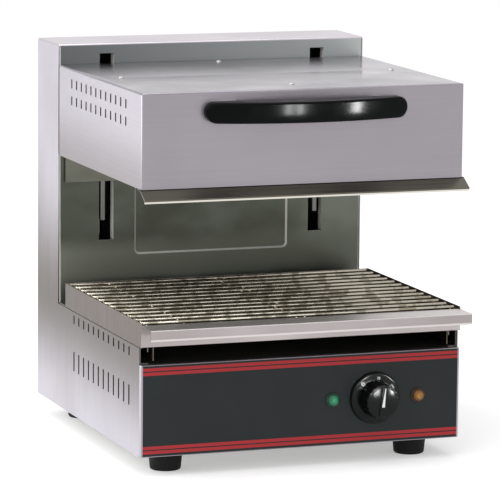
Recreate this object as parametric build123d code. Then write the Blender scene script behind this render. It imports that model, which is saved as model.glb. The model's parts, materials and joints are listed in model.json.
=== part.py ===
from build123d import *
from math import pi, sqrt
import os

# Lift-type cheese melter: base casing, column, counterbalanced hood, drip tray and rack.
# Frame: X to the right seen from the front, -Y to the front, +Z up, floor at Z = 0, in
# millimetres. Depths are measured back from the control panel's face, and heights up from the
# casing's bottom edge.

# ---------------------------------------------------------------- driving sizes: casing
width = 450.0                 # base, column and hood are equally wide
body_depth = 464.0            # control panel's face to the column's back
column_depth = 98.0           # column, front face to back
column_height = 506.0         # casing's bottom edge to the top of the column
side_height = 144.6           # base side panels, in front of the column
front_opening = 21.7          # side panels' top edge above the control panel
foot_height = 27.0
sheet = 1.2                   # stainless casing sheet
bend_radius = 2.5             # outside radius of the casing's folds
return_width = 14.0           # width of folded returns
seam = 0.3                    # gap between neighbouring covers
plate_gap = 0.2               # gap round sheets that fit inside others
cut_past = 1.0                # how far a cutter runs past the faces it cuts through

# ---------------------------------------------------------------- driving sizes: front
panel_return = 7.0            # depth of the front panel's folded edges
panel_bend = 1.6
fascia_thickness = 0.5
fascia_margin = 1.4           # bare steel round the printed fascia
knob_from_right = 122.5       # knob's centre to the casing's right side
control_height = 61.8         # knob and lamps above the casing's bottom edge
green_lamp_offset = 59.1      # left of the knob
amber_lamp_offset = 62.5      # right of the knob
knob_skirt_radius = 35.0
knob_skirt_thickness = 5.5
knob_skirt_edge = 2.5
knob_skirt_bevel = 4.8
knob_grip_radius = 25.0
knob_grip_length = 26.0
knob_taper = 1.0
knob_flutes = 18
knob_flute_radius = 1.5
pointer_width = 3.2
pointer_height = 1.6
pointer_inner_margin = 4.5    # pointer's inner end to the knob's middle
pointer_outer_margin = 4.5    # pointer's outer end to the grip's rim
knob_standoff = 1.0
shaft_radius = 3.0
shaft_fit = 0.05
lamp_radius = 10.5
lamp_bezel = 1.6
lamp_dome = 5.0
lamp_rim = 1.2
lamp_stem_radius = 6.0
lamp_stem_length = 26.0
lamp_nut = 4.0
lamp_nut_rim = 2.4

# ---------------------------------------------------------------- driving sizes: tray and rack
tray_depth = 332.0
tray_height = 32.5
tray_sheet = 1.0
tray_bend = 2.0
tray_lip_reach = 40.0
tray_lip_drop = 14.5
tray_lip_bend = 0.9
tray_lip_step = 3.0           # the front wall stands this much lower than the side walls
tray_lift = 1.4               # tray floor above the side panels' top edge
runner_inset = 17.0           # runner's outer face to the casing's side
runner_gap = 5.1              # runner's lower edge above the base deck
rail_flange = 11.6
rail_lip = 6.0
rail_end = 3.0                # rail's front end behind the panel face
wire_radius = 2.0
cross_wire_radius = 1.6
wire_count = 13
first_wire = 11.0             # first long wire behind the tray's front
last_wire_margin = 4.0        # from the last wire to the tray's back wall
wire_end_inset = 5.0          # wire ends to the tray's outer faces
rack_below_rim = 0.0          # tops of the long wires below the side walls' top edges
ledge_width = 7.0             # strips inside the tray's side walls that carry the wires' ends
ledge_end_gap = 3.0           # ledges' ends to the tray's end walls
cross_wire_inset = 62.0       # outer cross wires to the casing's side
edge_wire_inset = 10.5
centre_wire_offset = 6.0
rack_clearance = 0.3
weld_depth = 0.4              # how far crossing wires sink into each other

# ---------------------------------------------------------------- driving sizes: hood
hood_height = 125.4
hood_below_top = 27.6         # hood's lid below the column's top, in the rest pose
hood_setback = 2.0            # hood's front face behind the panel face
hood_column_gap = 2.8         # hood's back plate to the column's front
back_plate_drop = 38.5        # back plate below the hood's bottom edge
back_plate_inset = 9.0
lip_drop = 12.5
lip_reach = 20.0
lip_overhang = 2.0
lip_hem = 3.0
lip_tongue = 12.0
handle_length = 281.0
handle_height = 28.0
handle_reach = 38.0
handle_thickness = 15.5
handle_foot = 50.0            # width of each foot on the hood
handle_foot_reach = 12.0
handle_above = 98.5           # handle's centre above the hood's bottom edge
handle_edge_radius = 6.0
handle_screw_radius = 2.5
handle_screw_depth = 10.0
handle_screw_head_radius = 4.6
reflector_sheet = 0.8
reflector_height = 45.0
reflector_slope = 18.0
reflector_margin = 20.0
insulation_thickness = 25.0
element_radius = 4.0
element_side_gap = 59.8       # outermost leg to the reflector's mouth
element_leg_spacing = 52.0
element_height = 19.0         # element's centre above the hood's bottom edge
element_front_margin = 66.0
terminal_radius = 5.0
terminal_length = 9.0
hanger_width = 10.0
hanger_thickness = 1.5
hanger_front_margin = 95.0    # behind the reflector's mouth's front edge
hanger_back_margin = 89.0     # before its back edge
stiffener_width = 20.0
stiffener_height = 8.0
lid_screw_front = 50.0
lid_screw_back = 21.0
lid_screw_side = 31.0

# ---------------------------------------------------------------- driving sizes: ventilation
louvre_width = 5.0
louvre_count = 12
hood_louvre_first = 68.0      # behind the panel's face
hood_louvre_pitch = 21.5
hood_louvre_length = 12.0
hood_louvre_rows = (82.0, 105.0)   # row centres above the hood's bottom edge
base_louvre_first = 50.0
base_louvre_pitch = 22.0
base_louvre_rows = ((75.5, 27.0), (134.0, 11.5))   # row centre height, slot length
back_vent_count = 9
back_vent_length = 60.0
back_vent_pitch = 22.0
back_vent_offset = 45.0       # vents' middle to the left of the back's middle

# ---------------------------------------------------------------- driving sizes: lift
slot_inset = 69.5             # slot's centre to the column's side
slot_width = 21.0
slot_end_gap = 4.0            # between an arm at its lowest or highest and the slot's end
slot_return = 14.0
emboss_margin = 29.5          # pressed-in panel's side edge to the slot
emboss_bottom = 207.0
emboss_height = 233.0
emboss_radius = 9.0
emboss_depth = 2.4
travel_down = 140.0
travel_up = 18.0
guide_rod_radius = 6.0
guide_rod_back = 39.0         # rod's centre behind the column's front face
rod_fit = 0.05
weight_rod_radius = 4.0
weight_rod_inset = 55.0
weight_rod_clearance = 0.5
block_width = 30.0
block_depth = 30.0
block_bottom = 258.0
top_stop_gap = 2.3            # block at its highest to the upper clamp
low_stop_gap = 1.0            # block at its lowest to the rubber buffer
bush_wall = 2.5
bush_length = 24.0
bush_seat = 0.02
arm_thickness = 6.0
arm_outset = 2.5              # arm's centre outside the slot's centre
arm_height = 95.0
arm_flange_width = 44.0
arm_flange_thickness = 5.0
arm_rib_back = 8.0            # rib's front edge behind the column's front face
crossbar_thickness = 6.0
crossbar_height = 50.0
crossbar_rise = 27.0          # crossbar's lower edge above the blocks' lower ends
cable_radius = 1.5
cable_inset = 125.0           # cables to the casing's side
anchor_radius = 5.0
anchor_height = 12.0
pulley_pitch_radius = 22.0
pulley_flange = 4.0
pulley_width = 9.0
pulley_hole_count = 5
pulley_hole_radius = 3.6
pulley_top_gap = 3.3          # pulley's rim to its bracket's top
pulley_side_gap = 0.6
pin_radius = 4.0
pin_head_radius = 6.5
pin_head = 2.5
bracket_thickness = 3.0
bracket_depth = 30.0
bracket_below_pin = 9.0
weight_depth = 36.0
weight_height = 85.0
weight_top_gap = 8.0          # cable eyes below the pulleys at the weight's highest
weight_end_gap = 40.0
beam_thickness = 5.0
top_beam_gap = 1.5            # beam's top below the column's top sheet
clamp_size = 26.0
clamp_height = 8.0
buffer_radius = 11.0
buffer_height = 9.0

# ---------------------------------------------------------------- driving sizes: underside and wiring
foot_top_radius = 23.0
foot_bottom_radius = 20.5
foot_side_inset = 51.0
foot_front_inset = 50.0
foot_back_inset = 52.0
foot_bolt_radius = 4.0
foot_bolt_head_radius = 7.0
foot_bolt_head = 5.0
foot_recess = 9.0
bolt_clearance = 0.3
floor_vent_count = 7
floor_vent_length = 90.0
floor_vent_pitch = 30.0
thermostat_size = (44.0, 34.0, 44.0)
thermostat_boss_radius = 5.0
tab_width = 6.0
tab_length = 8.0
gland_from_right = 75.0
gland_height = 60.0
gland_radius = 11.0
gland_bore_radius = 4.5
gland_reach = 12.0
gland_inner_length = 14.0
gland_flange_radius = 14.0
gland_flange = 3.0
gland_nut = 6.0
gland_nut_radius = 15.0
terminal_block_size = (62.0, 26.0, 22.0)
terminal_block_set_back = 98.0   # block's middle before the back sheet
terminal_ways = 5
terminal_hole_depth = 7.5
loom_radius = 3.5
loom_bend = 21.0
loom_set_back = 24.5          # the loom rises this far behind its clip's plane
loom_first_rise = 22.0
loom_second_rise = 66.0
lead_radius = 4.0
lead_half_spread = 39.0
lead_drop = 70.0
lead_clip_height = 250.0
clip_size = (34.0, 20.0)
carriage_terminal_size = (32.0, 22.0)
screw_head_radius = 3.6
screw_head = 2.0
screw_head_rounding = 1.2
screw_radius = 1.9
screw_clearance = 0.2
screw_length = 7.0
lid_nut = 4.0
rear_screw_rows = 4
rear_screw_margin = 30.0      # outer screws to the casing's bottom and top

# ---------------------------------------------------------------- derived planes
half_width = width / 2
inner_x = half_width - sheet
face_y = -(tray_lip_reach + body_depth + gland_reach) / 2 + tray_lip_reach
back_y = face_y + body_depth
column_y = back_y - column_depth
base_z = foot_height
side_top_z = base_z + side_height
panel_top_z = side_top_z - front_opening
deck_z = panel_top_z - sheet
column_top_z = base_z + column_height
hood_top_z = column_top_z - hood_below_top
hood_z = hood_top_z - hood_height
hood_front_y = face_y + hood_setback
hood_back_y = column_y - hood_column_gap - sheet
tray_z = side_top_z + tray_lift
tray_top_z = tray_z + tray_height
tray_lip_z = tray_top_z - tray_lip_step
beam_top_z = column_top_z - sheet - top_beam_gap
beam_z = beam_top_z - beam_thickness
block_top_z = beam_z - clamp_height - top_stop_gap - travel_up
block_z = base_z + block_bottom
block_height = block_top_z - block_z
arm_z = block_top_z - arm_height
slot_z = arm_z - travel_down - slot_end_gap
slot_top_z = block_top_z + travel_up + slot_end_gap
lower_beam_top_z = block_z - travel_down - low_stop_gap - buffer_height - clamp_height
crossbar_z = block_z + crossbar_rise
arm_x = half_width - slot_inset
rod_y = column_y + guide_rod_back
pulley_y = rod_y + block_depth / 2
weight_y = pulley_y + pulley_pitch_radius
pulley_rim = pulley_pitch_radius + pulley_flange
pulley_z = beam_z - bracket_thickness - pulley_top_gap - pulley_rim
weight_top_z = pulley_z - pulley_rim - weight_top_gap - travel_down - anchor_height
weight_z = weight_top_z - weight_height
cable_x = half_width - cable_inset
weight_rod_x = half_width - weight_rod_inset
control_z = base_z + control_height
knob_x = half_width - knob_from_right

# pieces by node name, in the order in which they are made
nodes = {}


# ---------------------------------------------------------------- small shape helpers
def block(x_from, x_to, y_from, y_to, z_from, z_to):
    """A rectangular solid between two corners."""
    size = (x_to - x_from, y_to - y_from, z_to - z_from)
    middle = ((x_from + x_to) / 2, (y_from + y_to) / 2, (z_from + z_to) / 2)
    return Pos(*middle) * Box(*size)


def rod(start, direction, length, radius):
    """A round bar from a start point along a direction."""
    return Solid.make_cylinder(radius, length, Plane(origin=start, z_dir=direction))


def tube_along(points, radii, radius):
    """A round tube along straight runs joined by tangent arcs."""
    path = FilletPolyline(*points, radius=radii)
    section = Plane(origin=path @ 0, z_dir=path % 0) * Circle(radius)
    return sweep(section, path=path)


def both_sides(shape):
    """A shape and its mirror image in the object's middle plane, as separate solids."""
    return Compound([*shape.solids(), *shape.mirror(Plane.YZ).solids()])


def folded_channel(x_half, y_from, y_to, z_from, z_to, thickness, radius):
    """Upright sheet folded back at both sides: a front wall and two side walls."""
    middle = (y_from + y_to) / 2
    outer = Pos(0, middle) * Rectangle(2 * x_half, y_to - y_from)
    outer = fillet(outer.vertices().group_by(Axis.Y)[0], radius)
    inner_half = x_half - thickness
    inner = Pos(0, middle + thickness) * Rectangle(2 * inner_half, y_to - y_from)
    inner = fillet(inner.vertices().group_by(Axis.Y)[0], radius - thickness)
    return Pos(0, 0, z_from) * extrude(outer - inner, z_to - z_from)


def open_pan(x_half, y_from, y_to, z_from, z_to, thickness, radius, open_to):
    """A folded pan with one open side; open_to is Axis.Z or Axis.Y, -1 or 1 with it."""
    axis, way = open_to
    outer = block(-x_half, x_half, y_from, y_to, z_from, z_to)
    ordered = outer.faces().sort_by(axis)
    floor_face = ordered[0] if way > 0 else ordered[-1]
    outer = fillet([*floor_face.edges(), *outer.edges().filter_by(axis)], radius)
    shift = thickness * way
    low = [-x_half + thickness, y_from + thickness, z_from + thickness]
    high = [x_half - thickness, y_to - thickness, z_to - thickness]
    index = 1 if axis == Axis.Y else 2
    if way > 0:
        high[index] += thickness + abs(shift)
    else:
        low[index] -= thickness + abs(shift)
    inner = block(low[0], high[0], low[1], high[1], low[2], high[2])
    ordered = inner.faces().sort_by(axis)
    floor_face = ordered[0] if way > 0 else ordered[-1]
    inner = fillet([*floor_face.edges(), *inner.edges().filter_by(axis)], radius - thickness)
    return outer - inner


def louvre_cutters(x_from, x_to, first, pitch, centre_z, length):
    """A row of upright slots through a side wall."""
    cutters = []
    for index in range(louvre_count):
        y = face_y + first + index * pitch
        cutters.append(block(x_from, x_to, y - louvre_width / 2, y + louvre_width / 2,
                             centre_z - length / 2, centre_z + length / 2))
    return cutters


def pan_head_screw(point, direction, shank_length):
    """A pan head screw whose head seats at a point; direction leads out of the head."""
    head = rod(point, direction, screw_head, screw_head_radius)
    head = fillet(head.edges().filter_by(GeomType.CIRCLE).sort_by(Axis(point, direction))[-1],
                  screw_head_rounding)
    shank = rod(point, tuple(-value for value in direction), shank_length, screw_radius)
    return head + shank


# ---------------------------------------------------------------- base and column casing
def make_side_panel():
    """Right-hand side sheet: base side and column side in one L-shaped piece."""
    start_y = face_y + panel_return + seam
    with BuildSketch(Plane.YZ) as outline:
        with BuildLine():
            Polyline((start_y, base_z), (back_y, base_z), (back_y, column_top_z - bend_radius),
                     (column_y, column_top_z - bend_radius), (column_y, side_top_z),
                     (start_y, side_top_z), close=True)
        make_face()
    panel = Pos(inner_x, 0, 0) * extrude(outline.sketch, sheet)
    floor_return = block(inner_x - return_width, inner_x, start_y, back_y - sheet,
                         base_z + sheet, base_z + 2 * sheet)
    back_return = block(inner_x - return_width, inner_x, back_y - 2 * sheet, back_y - sheet,
                        base_z + 2 * sheet, column_top_z - 2 * return_width)
    panel = panel + floor_return + back_return
    for centre, length in base_louvre_rows:
        panel -= louvre_cutters(inner_x - sheet, half_width + sheet, base_louvre_first,
                                base_louvre_pitch, base_z + centre, length)
    return panel - rear_screw_holes()


def rear_screw_places():
    """Where the back sheet is screwed to the side panels' returns, on the right-hand side."""
    x = inner_x - return_width / 2
    pitch = (column_height - 2 * rear_screw_margin) / (rear_screw_rows - 1)
    return [(x, back_y, base_z + rear_screw_margin + row * pitch)
            for row in range(rear_screw_rows)]


def rear_screw_holes():
    """Clearance holes for the back sheet's screws, on the right-hand side."""
    return [rod((x, y - 4 * sheet, z), (0, 1, 0), 6 * sheet, screw_radius + screw_clearance)
            for x, y, z in rear_screw_places()]


def make_base_floor():
    """Bottom sheet with cooling slots and holes for the feet's bolts."""
    floor = block(-inner_x + plate_gap, inner_x - plate_gap, face_y + panel_return + seam,
                  back_y - sheet - seam, base_z, base_z + sheet)
    middle_y = (face_y + back_y) / 2
    for index in range(floor_vent_count):
        x = (index - (floor_vent_count - 1) / 2) * floor_vent_pitch
        floor -= block(x - louvre_width / 2, x + louvre_width / 2,
                       middle_y - floor_vent_length / 2, middle_y + floor_vent_length / 2,
                       base_z - sheet, base_z + 2 * sheet)
    for x, y in foot_places():
        floor -= rod((x, y, base_z - sheet), (0, 0, 1), 3 * sheet,
                     foot_bolt_radius + bolt_clearance)
    return floor


def make_front_panel():
    """Folded front panel with holes for the knob's shaft and the lamps."""
    panel = open_pan(half_width, face_y + fascia_thickness, face_y + panel_return,
                     base_z, panel_top_z, sheet, panel_bend, (Axis.Y, 1))
    return panel - control_holes()


def control_holes():
    """Holes through the panel and fascia for the shaft's bush and the lamp stems."""
    start = face_y - sheet
    reach = 4 * sheet + fascia_thickness
    holes = [rod((knob_x, start, control_z), (0, 1, 0), reach,
                 thermostat_boss_radius + screw_clearance)]
    for x in lamp_places():
        holes.append(rod((x, start, control_z), (0, 1, 0), reach,
                         lamp_stem_radius + screw_clearance))
    return holes


def lamp_places():
    """X of the green and of the amber lamp."""
    return knob_x - green_lamp_offset, knob_x + amber_lamp_offset


def make_fascia():
    """Printed film over the front panel's face."""
    film = block(-half_width + panel_bend + fascia_margin, half_width - panel_bend - fascia_margin,
                 face_y, face_y + fascia_thickness,
                 base_z + fascia_margin, panel_top_z - fascia_margin)
    return film - control_holes()


def make_base_deck():
    """Sheet that closes the base below the tray."""
    return block(-inner_x + plate_gap, inner_x - plate_gap, face_y + panel_return + seam,
                 column_y - seam, deck_z, panel_top_z)


def make_tray_rail():
    """Right-hand rail: a lipped channel on the deck, against the side panel."""
    outer = inner_x - plate_gap
    inner = outer - rail_flange
    start = face_y + rail_end + panel_return
    end = column_y - seam
    web = block(outer - sheet, outer, start, end, panel_top_z, tray_z)
    lower = block(inner, outer, start, end, panel_top_z, panel_top_z + sheet)
    upper = block(inner, outer, start, end, tray_z - sheet, tray_z)
    lip = block(inner, inner + sheet, start, end, tray_z - rail_lip - sheet, tray_z)
    return web + lower + upper + lip


def make_column_front():
    """Column's front sheet: folded edges, two arm slots with returns, pressed-in panel."""
    front = folded_channel(inner_x - plate_gap / 2, column_y, column_y + return_width, deck_z,
                           column_top_z - bend_radius, sheet, bend_radius)
    middle_z = base_z + emboss_bottom + emboss_height / 2
    emboss_half = arm_x - slot_width / 2 - emboss_margin
    emboss = RectangleRounded(2 * emboss_half, emboss_height, emboss_radius)
    face = Plane(origin=(0, column_y, middle_z), x_dir=(1, 0, 0), z_dir=(0, 1, 0))
    boss = extrude(face * emboss, emboss_depth + sheet, taper=45)
    pocket = extrude(face * offset(emboss, -sheet * sqrt(2)), emboss_depth, taper=45)
    front = front + boss - pocket
    for side in (-1, 1):
        centre = side * arm_x
        for edge in (-1, 1):
            inside = centre + edge * slot_width / 2
            outside = inside + edge * sheet
            front += block(min(inside, outside), max(inside, outside), column_y,
                           column_y + slot_return, slot_z, slot_top_z)
        front -= block(centre - slot_width / 2, centre + slot_width / 2, column_y - sheet,
                       column_y + slot_return + sheet, slot_z, slot_top_z)
    return front


def make_column_back():
    """Back sheet of base and column, with cooling slots and the cable gland's hole."""
    back = block(-inner_x + plate_gap, inner_x - plate_gap, back_y - sheet, back_y,
                 base_z, column_top_z - bend_radius)
    for row in range(2):
        centre = base_z + side_height / 2 + row * column_height / 2
        for index in range(back_vent_count):
            x = (index - (back_vent_count - 1) / 2) * back_vent_pitch - back_vent_offset
            back -= block(x - louvre_width / 2, x + louvre_width / 2, back_y - 2 * sheet,
                          back_y + sheet, centre - back_vent_length / 2,
                          centre + back_vent_length / 2)
    back -= rod((gland_x(), back_y - 2 * sheet, base_z + gland_height), (0, 1, 0), 4 * sheet,
                gland_radius + screw_clearance)
    holes = rear_screw_holes()
    return back - holes - [hole.mirror(Plane.YZ) for hole in holes]


def gland_x():
    """X of the supply cable's gland, at the right of the back sheet."""
    return half_width - gland_from_right


def make_column_top():
    """Lid of the column: a shallow pan whose folded edges hang inside the casing."""
    return open_pan(half_width, column_y, back_y, column_top_z - bend_radius, column_top_z,
                    sheet, bend_radius - seam, (Axis.Z, -1))


# ---------------------------------------------------------------- guides, beams and counterbalance
def make_beam(z_from, z_to, y_from):
    """A flat bar across the inside of the column."""
    return block(-inner_x + plate_gap, inner_x - plate_gap, y_from, back_y - 2 * sheet - seam,
                 z_from, z_to)


def beam_front_y():
    """Front edge of both cross beams, just ahead of the guide rods' clamps."""
    return rod_y - clamp_size / 2 - seam


def make_guide_rod():
    """Right-hand rod on which the hood's carriage runs."""
    return rod((arm_x, rod_y, lower_beam_top_z), (0, 0, 1), beam_z - lower_beam_top_z,
               guide_rod_radius)


def make_rod_clamps():
    """Clamp blocks that hold the guide rods to the beams, two on each rod."""
    clamps = []
    for z in (lower_beam_top_z, beam_z - clamp_height):
        body = block(arm_x - clamp_size / 2, arm_x + clamp_size / 2, rod_y - clamp_size / 2,
                     rod_y + clamp_size / 2, z, z + clamp_height)
        body -= rod((arm_x, rod_y, z - cut_past), (0, 0, 1), clamp_height + 2 * cut_past,
                    guide_rod_radius + rod_fit)
        clamps.append(body)
    return both_sides(Compound(clamps))


def make_weight_rod():
    """Right-hand rod that keeps the counterweight straight."""
    return rod((weight_rod_x, weight_y, lower_beam_top_z), (0, 0, 1), beam_z - lower_beam_top_z,
               weight_rod_radius)


def make_stop_buffer():
    """Rubber ring on the guide rod that cushions the carriage at its lowest."""
    z = lower_beam_top_z + clamp_height
    ring = rod((arm_x, rod_y, z), (0, 0, 1), buffer_height, buffer_radius)
    return ring - rod((arm_x, rod_y, z - cut_past), (0, 0, 1), buffer_height + 2 * cut_past,
                      guide_rod_radius + rod_fit)


def make_pulley():
    """Right-hand grooved pulley of the lifting cable, with lightening holes."""
    groove = pulley_pitch_radius - cable_radius - seam
    start = cable_x - pulley_width / 2
    wheel = rod((start, pulley_y, pulley_z), (1, 0, 0), pulley_width, pulley_rim)
    slot_half = cable_radius + 2 * seam
    ring = rod((cable_x - slot_half, pulley_y, pulley_z), (1, 0, 0), 2 * slot_half,
               pulley_rim + cut_past)
    ring -= rod((cable_x - slot_half, pulley_y, pulley_z), (1, 0, 0), 2 * slot_half, groove)
    through = pulley_width + 2 * cut_past
    wheel -= rod((start - cut_past, pulley_y, pulley_z), (1, 0, 0), through,
                 pin_radius + rod_fit)
    hole_circle = (pin_radius + groove) / 2
    turn = Axis((0, pulley_y, pulley_z), (1, 0, 0))
    for index in range(pulley_hole_count):
        hole = rod((start - cut_past, pulley_y, pulley_z + hole_circle), (1, 0, 0), through,
                   pulley_hole_radius)
        wheel -= hole.rotate(turn, 360 * index / pulley_hole_count)
    return wheel - ring


def make_pulley_bracket():
    """Right-hand fork under the top beam that carries the pulley's pin."""
    half = pulley_width / 2 + pulley_side_gap
    y_from = pulley_y - bracket_depth / 2
    y_to = pulley_y + bracket_depth / 2
    low = pulley_z - bracket_below_pin
    fork = block(cable_x - half - bracket_thickness, cable_x + half + bracket_thickness,
                 y_from, y_to, low, beam_z)
    fork -= block(cable_x - half, cable_x + half, y_from - cut_past, y_to + cut_past,
                  low - cut_past, beam_z - bracket_thickness)
    return fork - rod((cable_x - 2 * half - bracket_thickness, pulley_y, pulley_z), (1, 0, 0),
                      4 * half + 2 * bracket_thickness, pin_radius + rod_fit)


def make_pulley_pin():
    """Right-hand pulley pin with a head at its outer end."""
    half = pulley_width / 2 + pulley_side_gap + bracket_thickness
    pin = rod((cable_x - half - pin_head, pulley_y, pulley_z), (1, 0, 0),
              2 * half + pin_head, pin_radius)
    return pin + rod((cable_x + half, pulley_y, pulley_z), (1, 0, 0), pin_head, pin_head_radius)


def make_lift_cable():
    """Right-hand wire rope from the crossbar over the pulley to the counterweight."""
    front_y = pulley_y - pulley_pitch_radius
    front_z = crossbar_z + crossbar_height + anchor_height
    back_z = weight_top_z + anchor_height
    up = Line((cable_x, front_y, front_z), (cable_x, front_y, pulley_z))
    over = ThreePointArc((cable_x, front_y, pulley_z),
                         (cable_x, pulley_y, pulley_z + pulley_pitch_radius),
                         (cable_x, weight_y, pulley_z))
    down = Line((cable_x, weight_y, pulley_z), (cable_x, weight_y, back_z))
    path = Wire([up, over, down])
    section = Plane(origin=(cable_x, front_y, front_z), z_dir=(0, 0, 1)) * Circle(cable_radius)
    return sweep(section, path=path)


def make_counterweight():
    """Steel bar with cable eyes on top and bores for its guide rods."""
    half = inner_x - weight_end_gap
    bar = block(-half, half, weight_y - weight_depth / 2, weight_y + weight_depth / 2,
                weight_z, weight_top_z)
    for side in (-1, 1):
        bar -= rod((side * weight_rod_x, weight_y, weight_z - cut_past), (0, 0, 1),
                   weight_height + 2 * cut_past, weight_rod_radius + weight_rod_clearance)
        bar += rod((side * cable_x, weight_y, weight_top_z), (0, 0, 1), anchor_height,
                   anchor_radius)
    return bar


# ---------------------------------------------------------------- hood carriage
def make_slide_block():
    """Right-hand carriage block, bored for its two bushes."""
    body = block(arm_x - block_width / 2, arm_x + block_width / 2, rod_y - block_depth / 2,
                 rod_y + block_depth / 2, block_z, block_top_z)
    return body - rod((arm_x, rod_y, block_z - cut_past), (0, 0, 1),
                      block_height + 2 * cut_past,
                      guide_rod_radius + rod_fit + bush_wall + bush_seat)


def make_guide_bushes():
    """Bronze bushes at both ends of each slide block."""
    bushes = []
    for z in (block_z, block_top_z - bush_length):
        bush = rod((arm_x, rod_y, z), (0, 0, 1), bush_length,
                   guide_rod_radius + rod_fit + bush_wall)
        bush -= rod((arm_x, rod_y, z - cut_past), (0, 0, 1), bush_length + 2 * cut_past,
                    guide_rod_radius + rod_fit)
        bushes.append(bush)
    return both_sides(Compound(bushes))


def make_lift_arm():
    """Right-hand arm: flange inside the hood, plate through the slot, rib down the block."""
    x = arm_x + arm_outset
    block_front = rod_y - block_depth / 2
    flange_front = hood_back_y - arm_flange_thickness
    arm = block(x - arm_thickness / 2, x + arm_thickness / 2, flange_front, block_front,
                arm_z, block_top_z)
    arm += block(x - arm_flange_width / 2, x + arm_flange_width / 2, flange_front, hood_back_y,
                 arm_z, block_top_z)
    return arm + block(x - arm_thickness / 2, x + arm_thickness / 2, column_y + arm_rib_back,
                       block_front, block_z, block_top_z)


def make_crossbar():
    """Flat bar between the slide blocks, with the cable eyes on its top edge."""
    half = arm_x - block_width / 2
    y = pulley_y - pulley_pitch_radius
    top = crossbar_z + crossbar_height
    bar = block(-half, half, y - crossbar_thickness / 2, y + crossbar_thickness / 2,
                crossbar_z, top)
    for side in (-1, 1):
        bar += rod((side * cable_x, y, top), (0, 0, 1), anchor_height, anchor_radius)
    return bar


# ---------------------------------------------------------------- hood
def make_hood_wrap():
    """Hood's front and sides in one folded sheet, with louvres and inward returns."""
    top = hood_top_z - bend_radius
    shell = folded_channel(half_width, hood_front_y, hood_back_y, hood_z, top, sheet, bend_radius)
    ring_half = inner_x + sheet / 2
    ring = block(-ring_half, ring_half, hood_front_y + sheet / 2, hood_back_y, hood_z,
                 hood_z + sheet)
    ring -= block(-inner_x + return_width, inner_x - return_width,
                  hood_front_y + sheet + return_width, hood_back_y - return_width,
                  hood_z - sheet, hood_z + 2 * sheet)
    shell += ring
    for side in (-1, 1):
        inside = side * (inner_x - return_width)
        outside = side * (inner_x + sheet / 2)
        shell += block(min(inside, outside), max(inside, outside), hood_back_y - sheet,
                       hood_back_y, hood_z, top - return_width)
        cut_from = min(side * (inner_x - sheet), side * (half_width + sheet))
        cut_to = max(side * (inner_x - sheet), side * (half_width + sheet))
        for row in hood_louvre_rows:
            shell -= louvre_cutters(cut_from, cut_to, hood_louvre_first, hood_louvre_pitch,
                                    hood_z + row, hood_louvre_length)
    for x in handle_screw_places():
        shell -= rod((x, hood_front_y - sheet, handle_z()), (0, 1, 0), 3 * sheet,
                     handle_screw_radius + screw_clearance)
    return shell


def lid_screw_places():
    """The lid's four screws: front, back, left and right of its stiffener."""
    middle = (hood_front_y + hood_back_y) / 2
    return [(0, hood_front_y + lid_screw_front), (0, hood_back_y - lid_screw_back),
            (-half_width + lid_screw_side, middle), (half_width - lid_screw_side, middle)]


def lid_screw_holes():
    """Clearance holes for the lid's screws."""
    return [rod((x, y, hood_top_z - 3 * sheet), (0, 0, 1), 4 * sheet,
                screw_radius + screw_clearance) for x, y in lid_screw_places()]


def make_hood_top():
    """Hood's lid: a shallow pan whose folded edges meet the hood's sides."""
    lid = open_pan(half_width, hood_front_y, hood_back_y, hood_top_z - bend_radius, hood_top_z,
                   sheet, bend_radius - seam, (Axis.Z, -1))
    return lid - lid_screw_holes()


def make_hood_stiffener():
    """Cross-shaped pressing under the lid."""
    middle = (hood_front_y + hood_back_y) / 2
    top = hood_top_z - sheet
    half = stiffener_width / 2
    x_half = inner_x - return_width / 2
    y_from = hood_front_y + return_width
    y_to = hood_back_y - return_width
    low = top - stiffener_height
    cross = block(-half, half, y_from, y_to, low, top)
    cross += block(-x_half, x_half, middle - half, middle + half, low, top)
    hollow = block(-half + sheet, half - sheet, y_from - cut_past, y_to + cut_past,
                   low - cut_past, top - sheet)
    hollow += block(-x_half - cut_past, x_half + cut_past, middle - half + sheet,
                    middle + half - sheet, low - cut_past, top - sheet)
    return cross - hollow - lid_screw_holes()


def make_hood_back_plate():
    """Plate behind the hood that hangs below it, slotted for the arms."""
    half = half_width - back_plate_inset
    plate = block(-half, half, hood_back_y, hood_back_y + sheet, hood_z - back_plate_drop,
                  hood_top_z - bend_radius - seam)
    for side in (-1, 1):
        x = side * (arm_x + arm_outset)
        plate -= block(x - arm_thickness / 2 - plate_gap, x + arm_thickness / 2 + plate_gap,
                       hood_back_y - sheet, hood_back_y + 2 * sheet, arm_z - plate_gap,
                       block_top_z + plate_gap)
    return plate


def make_hood_lip():
    """Sloping deflector along the hood's lower front edge, hemmed at its foot."""
    tip_y = hood_front_y - lip_reach
    tip_z = hood_z - lip_drop
    with BuildSketch(Plane.YZ) as profile:
        with BuildLine():
            Polyline((hood_front_y + lip_tongue, hood_z), (hood_front_y, hood_z),
                     (tip_y, tip_z + sheet), (tip_y, tip_z - lip_hem),
                     (tip_y + sheet, tip_z - lip_hem), (tip_y + sheet, tip_z),
                     (hood_front_y + sheet / 2, hood_z - sheet),
                     (hood_front_y + lip_tongue, hood_z - sheet), close=True)
        make_face()
    half = half_width + lip_overhang
    return Pos(-half, 0, 0) * extrude(profile.sketch, 2 * half)


def frustum(half_low, half_high, y_low, y_high, z_low, z_high):
    """A four-sided tapered solid between two rectangles."""
    low = Pos(0, sum(y_low) / 2, z_low) * Rectangle(2 * half_low, y_low[1] - y_low[0])
    high = Pos(0, sum(y_high) / 2, z_high) * Rectangle(2 * half_high, y_high[1] - y_high[0])
    return loft([low, high])


def reflector_span():
    """Half width and Y limits of the reflector's mouth."""
    return (inner_x - reflector_margin, hood_front_y + sheet + reflector_margin,
            hood_back_y - sheet - reflector_margin)


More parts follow.
